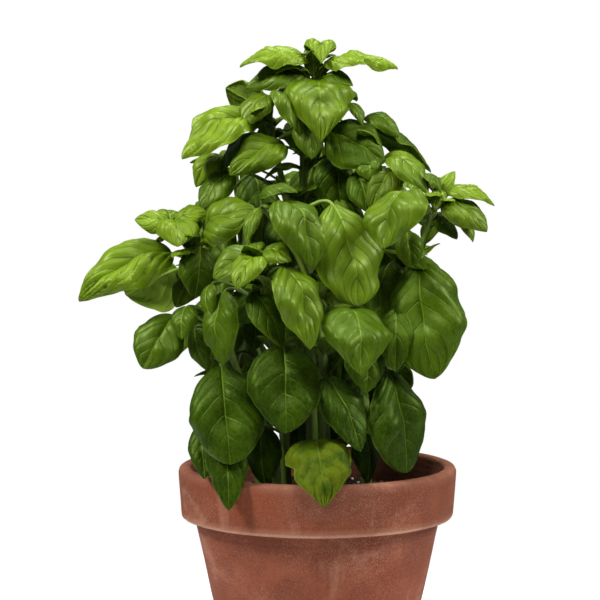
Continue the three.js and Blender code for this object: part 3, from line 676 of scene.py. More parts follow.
    def fold(self, phase, v, seed):
        """The folds between the side veins: each field has its own height, and some are split in two."""
        hand = np.sign(v)
        field = np.floor(phase)
        low, more = FIELD_HEIGHT
        height = low + more * np.sin(FIELD_PACE[0] * field + FIELD_PACE[1] * hand + seed) ** 2
        low, more = FOLD_POWER
        whole = np.abs(np.sin(np.pi * phase)) ** (low + more * (1 - self.tone * self.ridged))
        far, pace = SPLIT_BEND
        split = np.abs(np.sin(2 * np.pi * phase + far * np.sin(pace * np.abs(v) + field + seed)))
        share = SPLIT_SHARE * np.sin(SPLIT_PACE[0] * field + SPLIT_PACE[1] * hand + 2 * seed) ** 2
        return height * ((1 - share) * whole + share * split)

    def billow(self, u, v, seed):
        """Slow swells over the whole blade, fading at its base and tip."""
        (along, out), (back, over) = BILLOW_PACES
        swells = np.sin(2 * np.pi * (along * u + out * v) + 3 * seed)
        swells = swells * np.cos(2 * np.pi * (back * u + over * v) + seed)
        return swells * np.sin(np.pi * u) * (BILLOW_TONE[0] + BILLOW_TONE[1] * self.tone)

    def waves(self, u, v, seed):
        """Waves of the margins, in millimetres, one hand out of step with the other."""
        slow, apart, quick = WAVE_PACE
        wave = np.sin(2 * np.pi * (slow * u + apart * np.sign(v)) + seed)
        wave = wave + 0.5 * np.sin(quick * np.pi * u + 2 * seed)
        return min(self.length, self.length**2 / WAVE_LENGTH) * v * v * wave * np.sin(np.pi * u)


def leaves_of(shoot, curve, first):
    """The leaves of a shoot, set out in its tables or grown on it where the eye doesn't reach."""
    leaves = []
    tones = shoot.get("tones", [])
    yellowing = shoot.get("yellowing", {})
    ridged = shoot.get("ridged", {})
    plain = [0, PLAIN_ARCH, PLAIN_CUP, PLAIN_WAIST]
    for i, row in enumerate(shoot.get("leaves", [])):
        base, tip, wide, roll, *bend = row + plain[len(row) - 3:]
        anchor, place = curve.anchor_for(seen(base))
        look = (tones[i], yellowing.get(i, 0), first + i, ridged.get(i, 1.0))
        leaves.append(Leaf(anchor, place, seen(base), seen(tip), wide, roll, bend, *look))
    for i, (share, bearing, length, droop) in enumerate(shoot.get("grown", [])):
        anchor = curve.at(share)
        turn, fall = math.radians(bearing), math.radians(droop)
        out = vector(math.cos(turn), math.sin(turn), 0)
        base = anchor + out * GROWN_STALK * length + UP * GROWN_STALK_RISE * length
        tip = base + out * length * math.cos(fall) - UP * length * math.sin(fall)
        roll = GROWN_ROLL * math.sin(i * GROWN_ROLL_STEP)
        far, pace = GROWN_TONE_STEP
        tone = np.interp((base[2] + tip[2]) / 2, TONE_HEIGHTS, GROWN_TONES) + far * math.sin(pace * i + first)
        look = (tone, 0, first + len(leaves) + i)
        leaves.append(Leaf(anchor, share, base, tip, GROWN_WIDTH * length, roll, plain[1:], *look))
    return leaves


def axil_leaves(leaves, first):
    """Pairs of small leaves in the corners between a shoot and its larger leaves."""
    small = []
    bend = (AXIL_ARCH, PLAIN_CUP, PLAIN_WAIST)
    for k, leaf in enumerate(leaves):
        if leaf.length < AXIL_FROM or leaf.place > AXIL_TO or leaf.anchor[2] < AXIL_ABOVE:
            continue
        out = leaf.base - leaf.anchor
        out[2] = 0
        bearing = math.atan2(*unit(out)[1::-1])
        for turn in (-1, 1):
            swing = math.sin(AXIL_PACE[0] * (first + k) + AXIL_PACE[1] * turn)
            way = bearing + turn * math.radians(AXIL_BEARING[0] + AXIL_BEARING[1] * swing)
            lean = math.cos(AXIL_PACE[2] * (first + k) + turn)
            rise = math.radians(AXIL_RISE[0] + AXIL_RISE[1] * lean)
            level = vector(math.cos(way), math.sin(way), 0)
            base = leaf.anchor + level * AXIL_START[0] + UP * AXIL_START[1]
            long = AXIL_LENGTH * (1 + AXIL_LENGTH_SWING * swing)
            tip = base + long * (level * math.cos(rise) + UP * math.sin(rise))
            tone = min(leaf.tone + AXIL_TONE, AXIL_TONE_LIMIT)
            seed = first + AXIL_SEEDS + 2 * k + turn
            sizes = (AXIL_WIDTH * long, AXIL_ROLL * swing, bend)
            small.append(Leaf(leaf.anchor, leaf.place, base, tip, *sizes, tone, 0, seed))
    return small


# ---- sheets and tubes ----

# Points nearer to each other than this, in metres, become one.
MERGE = 1e-6


def only(piece):
    """Select one piece and no other."""
    bpy.ops.object.select_all(action="DESELECT")
    piece.select_set(True)
    bpy.context.view_layer.objects.active = piece


def joined(pieces, name):
    """Several pieces as one, each with its own faces and finishes."""
    bpy.ops.object.select_all(action="DESELECT")
    for piece in pieces:
        piece.select_set(True)
    bpy.context.view_layer.objects.active = pieces[0]
    bpy.ops.object.join()
    pieces[0].name = name
    pieces[0].data.name = name
    return pieces[0]


def edit(piece):
    """Open a piece in edit mode, all of it selected."""
    only(piece)
    bpy.ops.object.mode_set(mode="EDIT")
    bpy.ops.mesh.select_all(action="SELECT")


def done():
    """Leave edit mode."""
    bpy.ops.object.mode_set(mode="OBJECT")


def apply(piece, modifier):
    """Make a modifier's work part of the mesh."""
    only(piece)
    bpy.ops.object.modifier_apply(modifier=modifier.name)


def points_of(piece):
    """The points of a piece, in metres, as rows of x, y and z."""
    flat = np.zeros(len(piece.data.vertices) * 3)
    piece.data.vertices.foreach_get("co", flat)
    return flat.reshape(-1, 3)


def put_points(piece, points):
    """Move the points of a piece to new places, in metres."""
    piece.data.vertices.foreach_set("co", np.ascontiguousarray(points, float).ravel())
    piece.data.update()


def note(piece, name, columns):
    """Keep three numbers at each point of a piece, for its finish to read."""
    kept = piece.data.attributes.new(name, "FLOAT_VECTOR", "POINT")
    rows = np.stack([np.broadcast_to(c, len(piece.data.vertices)) for c in columns], axis=1)
    kept.data.foreach_set("vector", np.ascontiguousarray(rows, float).ravel())


def flat_sheet(name, columns, rows):
    """A flat sheet of squares, and where its points lie across and along it, from 0 to 1."""
    bpy.ops.mesh.primitive_grid_add(x_subdivisions=columns, y_subdivisions=rows, size=2)
    sheet = bpy.context.object
    sheet.name = name
    spots = np.round((points_of(sheet) + 1) / 2, 6)
    return sheet, spots[:, 0], spots[:, 1]


def carried_frames(centres, first):
    """Two directions square to a line of centres at each of them, carried along it without a twist."""
    tangents = np.gradient(centres, axis=0)
    tangents /= np.linalg.norm(tangents, axis=1)[:, None]
    side = unit(first - tangents[0] * (first @ tangents[0]))
    sides = []
    for tangent in tangents:
        side = unit(side - tangent * (side @ tangent))
        sides.append(side)
    sides = np.array(sides)
    return sides, np.cross(tangents, sides)


def rolled_tube(name, centres, radii, around, squareness=0.0, first=None):
    """A sheet rolled round a line of centres; its seam and ends are closed when the tubes are joined."""
    rows = len(centres) - 1
    tube, across, along = flat_sheet(name, around, rows)
    first = vector(1, 0, 0.01) if first is None else first
    normals, binormals = carried_frames(centres, first)
    row = np.rint(along * rows).astype(int)
    angle = 2 * np.pi * (np.rint(across * around).astype(int) % around) / around
    reach = radii[row] * (1 + squareness * np.cos(4 * angle))
    points = centres[row] + normals[row] * (reach * np.cos(angle))[:, None]
    points += binormals[row] * (reach * np.sin(angle))[:, None]
    put_points(tube, points * MM)
    return tube, row


def closed(piece, within=MERGE):
    """Merge a piece's doubled points and fill its open ends."""
    edit(piece)
    bpy.ops.mesh.remove_doubles(threshold=within)
    bpy.ops.mesh.select_all(action="SELECT")
    bpy.ops.mesh.fill_holes(sides=0)
    done()
    return piece


def smoothed(piece, angle):
    """Shade a piece smooth across edges that turn by less than an angle, in degrees."""
    only(piece)
    bpy.ops.object.shade_smooth_by_angle(angle=math.radians(angle))


def finished(piece, node):
    """Let a piece ride the part's only body, and stand for its node of the solids."""
    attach(piece, "root")
    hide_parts(node)


# ---- finishes ----

# Where the lines of a blade are drawn in full, and where they have faded out, in millimetres from their
# middles. The edge's, a pale rim of painted highlight along the margin, are shares of the half width.
MIDRIB_LINE = (0.28, 0.62)
MIDRIB_TAPER = 0.3
VEIN_LINE = (0.06, 0.36)
NET_LINE = (0.0, 0.14)
CREASE_LINE = (0.2, 1.6)
GULLY_LINE = (0.0, 0.9)
EDGE_HIGHLIGHT_LINE = (0.95, 1.0)
# How strongly they are drawn, and how far the patterns of two leaves lie apart.
VEIN_SHARE = 0.18
NET_SHARE = 0.1
EDGE_HIGHLIGHT_SHARE = 0.35
UNDER_VEIN_SHARE = 0.8
UNDERSIDE_SHARE = 0.45
LEAF_APART = 90.0
NET_SCALE = 0.42
# The depths of a blade's lines and grain, as shares of its bump's depth, and each bump's depth in metres.
GULLY_DEPTH = 0.9
MIDRIB_DEPTH = 0.6
NET_DEPTH = 0.03
UNDER_NET_DEPTH = 0.3
GRAIN_DEPTH = 0.05
BLADE_BUMP = 0.00025
STALK_BUMP = 0.0002
CLAY_BUMP = 0.0004
COMPOST_BUMP = 0.0012
GRIT_BUMP = 0.0006

# The noises: scale, detail and roughness. Those of the blades are per millimetre, the others per metre.
BLADE_FINE = (0.55, 4.0, 0.6)
BLADE_BROAD = (0.09, 2.0)
BLADE_BROKEN = (0.14, 2.0)
STALK_STREAKS = (900.0, 3.0, 0.6)
STALK_BLOTCHES = (90.0,)
CLAY_BROAD = (14.0, 4.0, 0.55)
CLAY_MIDDLE = (46.0, 5.0, 0.6)
CLAY_GRAIN = (900.0, 3.0, 0.7)
CLAY_PATCHES = (22.0, 6.0, 0.65)
CLAY_DRIPS = (60.0, 4.0, 0.6)
CLAY_SHADE_BREAKUP = (30.0,)
CLAY_PITTED = (210.0,)
CLAY_DUST = (1700.0, 2.0, 0.7)
COMPOST_COARSE = (160.0, 5.0, 0.65)
COMPOST_FINE = (1100.0, 3.0, 0.6)
GRIT_DUST = (700.0,)
PIT_SCALE = 330.0
RINGS = {"Scale": 95.0, "Distortion": 2.5, "Detail": 3.0}

# Where the marks of the pot lie, in metres: the salts low on its body, the collar's band, the painted shade
# on the collar's front under the leaves, and the rusty stain on it. Each pair runs from where the mark starts
# or ends to where it is whole or gone.
SALTY_FOOT = (0.02, 0.1)
BAND_FOOT = (0.108, 0.12)
BAND_TOP = (0.126, 0.13)
SHADE_LEFT = (-0.055, -0.01)
SHADE_RIGHT = (0.01, 0.045)
SHADE_FRONT = (-0.07, -0.03)
RUSTY_LEFT = (-0.06, -0.045)
RUSTY_RIGHT = (-0.02, 0.0)
RUSTY_FRONT = (-0.05, -0.03)


class Finish:
    """A material that is put together node by node."""

    def __init__(self, name):
        self.material = bpy.data.materials.new(name)
        self.material.use_nodes = True
        self.nodes = self.material.node_tree.nodes
        self.links = self.material.node_tree.links
        self.nodes.clear()
        self.output = self.nodes.new("ShaderNodeOutputMaterial")

    def add(self, kind, inputs=None, **settings):
        """A new node of a kind, with its settings and what its inputs are given."""
        node = self.nodes.new("ShaderNode" + kind)
        for key, value in settings.items():
            setattr(node, key, value)
        for key, value in (inputs or {}).items():
            self.give(node.inputs[key], value)
        return node

    def give(self, socket, value):
        """Link an input to another node's output, or set it to a number or a colour."""
        if isinstance(value, bpy.types.NodeSocket):
            self.links.new(value, socket)
        elif socket.type == "RGBA" and len(value) == 3:
            socket.default_value = (*value, 1.0)
        else:
            socket.default_value = value

    def math(self, operation, a, b=0.0, c=0.0, clamp=False):
        """One step of reckoning on up to three values."""
        node = self.add("Math", operation=operation, use_clamp=clamp)
        for socket, value in zip(node.inputs, (a, b, c)):
            self.give(socket, value)
        return node.outputs[0]

    def times(self, first, *others):
        """The product of two values or more."""
        for other in others:
            first = self.math("MULTIPLY", first, other)
        return first

    def spread(self, value, low, high, start=0.0, end=1.0):
        """A value eased from low..high to start..end."""
        inputs = {0: value, 1: low, 2: high, 3: start, 4: end}
        return self.add("MapRange", inputs, interpolation_type="SMOOTHSTEP").outputs[0]

    def fading(self, value, low, high, left=0.0):
        """1 up to low, left above high, and smooth between."""
        return self.spread(value, low, high, 1.0, left)

    def mix(self, share, a, b):
        """Colour a where share is 0, colour b where it is 1."""
        node = self.add("Mix", data_type="RGBA")
        self.give(node.inputs[0], share)
        self.give(node.inputs[6], a)
        self.give(node.inputs[7], b)
        return node.outputs[2]

    def parts(self, vector_socket):
        """The three numbers of a vector."""
        return self.add("SeparateXYZ", {0: vector_socket}).outputs

    def kept(self, name):
        """The three numbers kept at each point under a name."""
        return self.parts(self.add("Attribute", attribute_name=name).outputs["Vector"])

    def place(self, scale=(1, 1, 1)):
        """Where a point lies in the piece, stretched by scale."""
        spot = self.add("TexCoord").outputs["Object"]
        return self.add("Mapping", {"Vector": spot, "Scale": scale}).outputs[0]

    def noise(self, where, scale, detail=3.0, roughness=0.5):
        """A cloudy pattern, about 0.5 on the whole."""
        inputs = {"Vector": where, "Scale": scale, "Detail": detail, "Roughness": roughness}
        return self.add("TexNoise", inputs).outputs[0]

    def cells(self, where, scale, feature="F1"):
        """How far a point is from its cell's middle, or from the cell's edge."""
        node = self.add("TexVoronoi", {"Vector": where, "Scale": scale}, feature=feature)
        return node.outputs["Distance"]

    def bump(self, height, distance):
        """The normals of a surface that is raised by height times distance, in metres."""
        return self.add("Bump", {"Height": height, "Distance": distance}).outputs[0]

    def skin(self, base, roughness, normal, shine=None):
        """An opaque surface; its shine is set on the shader itself."""
        skin = self.add("BsdfPrincipled", {"Base Color": base, "Roughness": roughness, "Normal": normal})
        if shine is not None:
            skin.inputs["Specular IOR Level"].default_value = shine
        return skin

    def close(self, node):
        """The finished material, with a node's shader for its surface."""
        self.links.new(node.outputs[0], self.output.inputs["Surface"])
        return self.material


def blade_finish(name, look, under):
    """A leaf blade's finish, for its upper face or its underside."""
    f = Finish(name)
    tone, yellow, seed = f.kept("leaf")
    span, run, across = f.kept("blade")
    phase, along, spacing = f.kept("veins")
    spot = f.add("CombineXYZ", {0: span, 1: run, 2: f.times(seed, LEAF_APART)}).outputs[0]
    side = f.math("ABSOLUTE", across)
    # The midrib, the side veins and the fine net between them, each 1 on its line.
    midrib = f.fading(f.math("ADD", f.math("ABSOLUTE", span), f.times(along, MIDRIB_TAPER)), *MIDRIB_LINE)
    nearest = f.times(f.math("PINGPONG", phase, 0.5), spacing)
    veins = f.times(f.fading(nearest, *VEIN_LINE), f.fading(side, 0.35, 1.0, 0.25))
    net = f.fading(f.cells(spot, NET_SCALE, "DISTANCE_TO_EDGE"), *NET_LINE)
    lines = f.math("MAXIMUM", midrib, f.times(veins, VEIN_SHARE))
    fine = f.noise(spot, *BLADE_FINE)
    broad = f.noise(spot, *BLADE_BROAD)
    # The green runs from dark to young, with a drift over each blade, and yellow patches where it is old.
    drift = f.math("MULTIPLY_ADD", f.math("SUBTRACT", broad, 0.5), 0.5, tone)
    shade = f.math("ADD", drift, f.times(f.math("SUBTRACT", fine, 0.5), 0.12), clamp=True)
    lower = f.mix(f.spread(shade, 0.0, 0.5), look.dark_green, look.middle_green)
    green = f.mix(f.spread(shade, 0.45, 1.0), lower, look.young_green)
    green = f.mix(f.times(yellow, f.spread(broad, 0.4, 0.6, 0.1, 1.0)), green, look.yellow_green)
    if under:
        green = f.mix(UNDERSIDE_SHARE, green, look.underside_green)
    pale = f.times(lines, UNDER_VEIN_SHARE if under else f.spread(tone, 0.1, 0.6, 0.5, 0.75))
    green = f.mix(pale, green, look.vein_green)
    green = f.mix(f.times(net, NET_SHARE), green, look.vein_green)
    if not under:
        # Shade in the creases beside the veins, in broken stretches, and deepest on young puckered blades.
        crease = f.times(f.spread(nearest, *CREASE_LINE, 0.75, 0.0), f.fading(side, 0.05, 0.9, 0.1))
        broken = f.spread(f.noise(spot, *BLADE_BROKEN), 0.36, 0.58)
        crease = f.times(crease, f.spread(tone, 0.3, 0.8, 0.35, 1.0), broken)
        hollow = f.mix(f.spread(tone, 0.2, 0.9, 0.0, 0.7), look.dark_green, look.middle_green)
        green = f.mix(crease, green, hollow)
    # A pale rim along the margin, in the vein green: a painted highlight.
    green = f.mix(f.spread(side, *EDGE_HIGHLIGHT_LINE, 0.0, EDGE_HIGHLIGHT_SHARE), green, look.vein_green)
    # Veins are sunk in the upper face and stand out from the lower one.
    out = 1 if under else -1
    gully = f.math("MAXIMUM", f.times(midrib, MIDRIB_DEPTH), f.spread(nearest, *GULLY_LINE, 0.8, 0.0))
    mesh = f.times(net, UNDER_NET_DEPTH if under else -NET_DEPTH)
    height = f.math("MULTIPLY_ADD", gully, out * GULLY_DEPTH, mesh)
    height = f.math("ADD", height, f.times(fine, GRAIN_DEPTH))
    if under:
        rough = look.under_roughness
    else:
        rough = f.spread(tone, 0.05, 0.6, look.old_roughness, look.young_roughness)
        rough = f.math("ADD", rough, f.times(fine, 0.06))
        rough = f.math("MULTIPLY_ADD", yellow, 0.18, rough)
    normal = f.bump(height, BLADE_BUMP)
    skin = f.skin(green, rough, normal, look.under_shine if under else look.shine)
    sheen = f.mix(f.spread(tone, 0.1, 0.65), look.dark_sheen, look.young_sheen)
    f.give(skin.inputs["Specular Tint"], sheen)
    glow = f.add("BsdfTranslucent", {"Color": f.mix(0.5, green, look.lit_through), "Normal": normal})
    return f.close(f.add("MixShader", {0: look.translucency, 1: skin.outputs[0], 2: glow.outputs[0]}))


def stalk_finish(name, look):
    """The finish of stems and stalks: pale green, a little purple at the joints, faintly ribbed."""
    f = Finish(name)
    tone, joint, _ = f.kept("leaf")
    streaks = f.noise(f.place((1, 1, 0.12)), *STALK_STREAKS)
    blotches = f.noise(f.place(), *STALK_BLOTCHES)
    green = f.mix(f.spread(tone, 0.0, 1.0), look.stalk_green, look.vein_green)
    green = f.mix(f.spread(streaks, 0.35, 0.7, 0.0, 0.35), green, look.middle_green)
    green = f.mix(f.times(joint, f.spread(blotches, 0.35, 0.65, 0.3, 0.8)), green, look.joint_tint)
    return f.close(f.skin(green, look.stalk_roughness, f.bump(streaks, STALK_BUMP)))


def clay_finish(name, look):
    """Weathered terracotta: drifts of darker and paler clay, a bloom of salts, worn edges and fine pits."""
    f = Finish(name)
    place = f.place()
    x, y, z = f.parts(place)
    # The second number kept under wear is where the inside wall gets painted shade.
    wear, inside, _ = f.kept("wear")
    broad = f.noise(place, *CLAY_BROAD)
    middle = f.noise(place, *CLAY_MIDDLE)
    grain = f.noise(place, *CLAY_GRAIN)
    clay = f.mix(f.spread(broad, 0.32, 0.68), look.clay_dark, look.clay)
    clay = f.mix(f.spread(middle, 0.42, 0.72, 0.0, 0.55), clay, look.clay_pale)
    # Salts bloom in soft patches, most of all low on the body.
    patches = f.noise(f.place((1, 1, 1.6)), *CLAY_PATCHES)
    low = f.fading(z, *SALTY_FOOT)
    bloom = f.spread(f.math("ADD", patches, f.times(low, 0.1)), 0.56, 0.72, 0.0, 0.45)
    clay = f.mix(bloom, clay, look.salt)
    # Brush marks and drips of salts run down the wall.
    drips = f.noise(f.place((1, 1, 0.2)), *CLAY_DRIPS)
    clay = f.mix(f.spread(drips, 0.58, 0.74, 0.0, 0.3), clay, look.salt)
    # Painted shade darkens the collar's front under the leaves, broken up into patches.
    shade_breakup = f.spread(f.noise(place, *CLAY_SHADE_BREAKUP), 0.3, 0.6, 0.15, 0.5)
    collar = f.times(f.spread(z, *BAND_FOOT), f.fading(z, *BAND_TOP, 0.2))
    front = f.times(f.fading(y, *SHADE_FRONT), f.fading(x, *SHADE_RIGHT), f.spread(x, *SHADE_LEFT))
    painted_shade = f.times(front, collar, shade_breakup)
    clay = f.mix(painted_shade, clay, look.clay_shade)
    # A rusty stain lies at the collar's left.
    rusty = f.times(f.spread(x, *RUSTY_LEFT), f.fading(x, *RUSTY_RIGHT), collar, f.fading(y, *RUSTY_FRONT))
    clay = f.mix(f.times(rusty, f.spread(middle, 0.3, 0.6, 0.8, 0.4)), clay, look.clay_rusty)
    # Edges are rubbed paler, and the inside wall is darkened below the lip with painted shade.
    clay = f.mix(f.times(wear, f.spread(middle, 0.3, 0.6, 0.45, 1.0), 0.85), clay, look.clay_worn)
    clay = f.mix(f.times(inside, 0.5), clay, look.clay_shade)
    # Pits, the clay's grain, and dust of salts that is thickest in the patches.
    pits = f.fading(f.cells(place, PIT_SCALE), 0.0, 0.28)
    pits = f.times(pits, f.spread(f.noise(place, *CLAY_PITTED), 0.55, 0.68))
    clay = f.mix(f.times(pits, 0.5), clay, look.clay_dark)
    clay = f.mix(f.spread(grain, 0.35, 0.7, 0.0, 0.3), clay, look.clay_pale)
    dust = f.spread(f.noise(place, *CLAY_DUST), 0.53, 0.66, 0.0, 0.48)
    clay = f.mix(f.times(dust, f.spread(patches, 0.4, 0.6, 0.35, 1.0)), clay, look.salt)
    # Faint rings from the turning, the grain, the pits and the unevenness of the wall.
    turning = f.add("TexWave", {"Vector": place, **RINGS}, bands_direction="Z").outputs[1]
    height = f.math("MULTIPLY_ADD", grain, 0.55, f.times(turning, 0.2))
    height = f.math("SUBTRACT", height, f.times(pits, 0.9))
    height = f.math("ADD", height, f.times(middle, 0.6))
    rough = f.spread(bloom, 0.0, 0.5, look.clay_roughness, look.salt_roughness)
    return f.close(f.skin(clay, rough, f.bump(height, CLAY_BUMP), look.clay_shine))


def compost_finish(name, look):
    """Dark earth with paler fibres, and painted shade in the hollows of its bump; each crumb has its own
    tint.
    """
    f = Finish(name)
    place = f.place()
    tint = f.kept("crumb")[0]
    coarse = f.noise(place, *COMPOST_COARSE)
    fine = f.noise(place, *COMPOST_FINE)
    # The low places of the bump are darker: painted shade.
    earth = f.mix(f.spread(coarse, 0.35, 0.65), look.compost_shade, look.compost)
    earth = f.mix(f.spread(fine, 0.6, 0.8, 0.0, 0.5), earth, look.compost_fibre)
    earth = f.mix(tint, earth, look.compost_fibre)
    normal = f.bump(f.math("ADD", coarse, f.times(fine, 0.5)), COMPOST_BUMP)
    return f.close(f.skin(earth, look.compost_roughness, normal, look.compost_shine))


def grit_finish(name, look):
    """White stone grit with earth on it."""
    f = Finish(name)
    dust = f.noise(f.place(), *GRIT_DUST)
    white = f.mix(f.spread(dust, 0.45, 0.7, 0.0, 0.6), look.grit, look.compost_fibre)
    return f.close(f.skin(white, look.grit_roughness, f.bump(dust, GRIT_BUMP)))


def made_once(name, make, *settings):
    """A finish by its name, made for the first piece that wears it."""
    return bpy.data.materials.get(name) or make(name, *settings)


# ---- settings ----

def number(name, description, value, **kind):
    """A setting that is a number from 0 up."""
    return bpy.props.FloatProperty(name=name, description=description, default=value, min=0.0, **kind)


def share(name, description, value):
    """A setting from 0 to 1."""
    return number(name, description, value, max=1.0, subtype="FACTOR")


def length(name, description, value):
    """A length, in metres."""
    return number(name, description, value, soft_max=0.5, precision=5, unit="LENGTH", subtype="DISTANCE")


def power(name, description, value):
    """The power of a light, in watts."""
    return number(name, description, value, unit="POWER")


def count(name, description, value):
    """A whole number of things."""
    return bpy.props.IntProperty(name=name, description=description, default=value, min=0)


def colour(name, description, value):
    """A colour."""
    return bpy.props.FloatVectorProperty(
        name=name, description=description, default=value, size=3, min=0.0, max=1.0, subtype="COLOR"
    )


class FoliageSettings(bpy.types.PropertyGroup):
    blade_thickness: length("Blade thickness", "Thickness of a leaf blade", 0.00038)
    square_side: length("Finest square", "Side of the squares that the blades are made of", 0.0011)
    pucker: share("Puckers", "Height of the puckers, as a share of the side veins' spacing", 0.54)
    plain_pucker: share("Old puckers", "Share of the puckers that the oldest leaves keep", 0.24)
    swell: share("Swell", "How far each half of a blade swells up beside its midrib", 0.09)
    twist: share("Twist", "How far a blade's tip is twisted", 0.3)
    groove: number("Midrib groove", "Depth of the groove along the midrib, in millimetres", 0.3)
    curl: share("Curl", "How far the margins curl down, as a share of half the width", 0.1)
    ragged: share("Ragged", "Depth of the bites in an old leaf's margin, as a share of half its width", 0.16)
    billow: share("Billow", "How far the whole blade billows, as a share of half its width", 0.11)
    wave: share("Wave", "How far the margins wave, as a share of the length", 0.045)
    sway: share("Sway", "How far a midrib bends to the side, as a share of the length", 0.006)
    teeth: share("Teeth", "Depth of the teeth on the margins, as a share of half the width", 0.035)
    crumple: number("Crumple", "Height of the fine crumples, in millimetres", 0.035)
    translucency: share("Light through", "Share of the light that passes through a blade", 0.32)
    old_roughness: share("Old roughness", "Roughness of the oldest leaves", 0.46)
    young_roughness: share("Young roughness", "Roughness of the young leaves", 0.41)
    under_roughness: share("Roughness beneath", "Roughness of the undersides", 0.62)
    stalk_roughness: share("Stalk roughness", "Roughness of stems and stalks", 0.5)
    shine: share("Shine", "Specular level of the upper faces", 0.65)
    under_shine: share("Shine beneath", "Specular level of the undersides", 0.25)
    # The greens are picked by each leaf's tone, which is partly its age and partly painted light and shade.
    # The dark and middle greens also give the painted shade in the creases, and the vein green gives the
    # painted highlight along the margins.
    dark_green: colour("Dark green", "Oldest leaves", (0.0085, 0.025, 0.0002))
    middle_green: colour("Middle green", "Full-grown leaves", (0.064, 0.128, 0.0006))
    young_green: colour("Young green", "Youngest leaves", (0.195, 0.315, 0.006))
    yellow_green: colour("Yellow green", "Leaves that turn yellow", (0.1, 0.122, 0.001))
    dark_sheen: colour("Dark sheen", "Tint of the sheen on the oldest leaves", (0.42, 0.7, 0.1))
    young_sheen: colour("Young sheen", "Tint of the sheen on the youngest leaves", (0.84, 1.0, 0.36))
    underside_green: colour("Underside", "Undersides of the leaves", (0.13, 0.19, 0.045))
    vein_green: colour("Veins", "Veins and young stalks", (0.27, 0.42, 0.035))
    stalk_green: colour("Stalks", "Stems and old stalks", (0.06, 0.11, 0.01))
    joint_tint: colour("Joints", "Tint at the joints of the stems", (0.13, 0.08, 0.05))
    lit_through: colour("Lit through", "Light that has passed through a blade", (0.4, 0.6, 0.008))


class PotSettings(bpy.types.PropertyGroup):
    unevenness: length("Unevenness", "How far the hand-turned clay wanders", 0.00035)
    chip_depth: length("Chips", "Depth of the chips in the collar's edges", 0.0008)
    lump_height: length("Lumps", "Height of the lumps of the compost", 0.0022)
    crumbs: count("Crumbs", "Loose crumbs on the compost", 700)
    grits: count("Grits", "White grits in the compost", 18)
    clay: colour("Clay", "The clay's main colour", (0.166, 0.0345, 0.0112))
    clay_dark: colour("Dark clay", "The clay's darker drifts", (0.13, 0.031, 0.0125))
    clay_pale: colour("Pale clay", "The clay's paler drifts", (0.24, 0.068, 0.0295))
    clay_rusty: colour("Rusty clay", "A redder stain on the collar", (0.2, 0.037, 0.007))
    clay_worn: colour("Worn clay", "Rubbed edges", (0.46, 0.26, 0.17))
    # This colour is painted shade: it darkens the collar's front under the leaves and the inside wall below
    # the lip.
    clay_shade: colour("Damp clay", "Damp patches", (0.12, 0.055, 0.03))
    salt: colour("Salts", "The pale bloom on the clay", (0.42, 0.235, 0.16))
    clay_roughness: share("Clay roughness", "Roughness of bare clay", 0.78)
    salt_roughness: share("Salt roughness", "Roughness of clay under salts", 0.92)
    clay_shine: share("Clay shine", "Specular level of the clay", 0.25)
    compost: colour("Compost", "The compost's main colour", (0.03, 0.018, 0.011))
    # This colour is painted shade in the hollows of the compost's bump.
    compost_shade: colour("Dark compost", "Its damp hollows", (0.009, 0.006, 0.004))
    compost_fibre: colour("Fibres", "Its fibres and dry crumbs", (0.09, 0.055, 0.032))
    compost_roughness: share("Compost roughness", "Roughness of the compost", 0.95)
    compost_shine: share("Compost shine", "Specular level of the compost", 0.15)
    grit: colour("Grit", "White grits", (0.4, 0.38, 0.34))
    grit_roughness: share("Grit roughness", "Roughness of the grits", 0.9)


class StudioSettings(bpy.types.PropertyGroup):
    backdrop: colour("Backdrop", "The studio's white", (1.0, 1.0, 1.0))
    fill: number("Fill", "Light from all round", 0.09)
    key: power("Key", "Power of the light from the left", 43.0)
    side: power("Side", "Power of the light from the right", 28.0)
    top: power("Top", "Power of the light above", 20.0)
    front: power("Front", "Power of the light over the camera", 12.0)


# ---- the pieces ----

# The fine pot: its sides, the longest step of its rings, the middle of its floor, the steps of its rounded
# edges, and the angle, in degrees, up to which it is shaded smooth.
POT_SIDES = 168
POT_RING_STEP = 3.0
FLOOR_MIDDLE = 2.0
ARC_STEPS = 6
POT_SMOOTH = 40
DRAIN_SIDES = 32
DRAIN_TURN = 0.25
# How the clay wanders and chips: patterns per metre, how rough a spot chips, and where edges are rubbed.
WANDER_SCALES = ((38.0, 1.0), (110.0, 0.5))
CHIP_SCALE = 260.0
CHIP_RANGE = (0.28, 0.55)
LIP_WEAR = 0.25
COLLAR_EDGE = (1.8, 0.3)
COLLAR_EDGE_RISE = 0.8
COLLAR_STANDS_OUT = 3
LIP_EDGE = 0.5
OUTER_RADIUS = 72
OUTER_DEPTH = 3.5
INNER_SHARE = -0.5
LEVEL_FOOT = 3
FLAT_MIDDLE = 20
# Where the painted shade on the inside wall starts and where it is whole, in millimetres of height.
INSIDE_SHADE = (POT_HEIGHT - 1, POT_HEIGHT - 9)
# The fine compost: its rings, the waves and heap of its top as in the solid, and the lumps on them.
SOIL_SIDES = 132
SOIL_UNDER_RINGS = 12
SOIL_TOP_RINGS = 64
LUMP_ALONG = (0.35, 0.13)
LUMP_ACROSS = (-0.17, 0.31)
LUMP_HEAP = 2
LUMP_EDGE = 12
ROUGH_EDGE = 20
ROUGH_SCALES = ((0.16, 1.0), (0.38, 0.6), (0.9, 0.35))
ROUGH_SEED = 3.7
SOIL_MERGE = 2e-5
SOIL_SMOOTH = 50
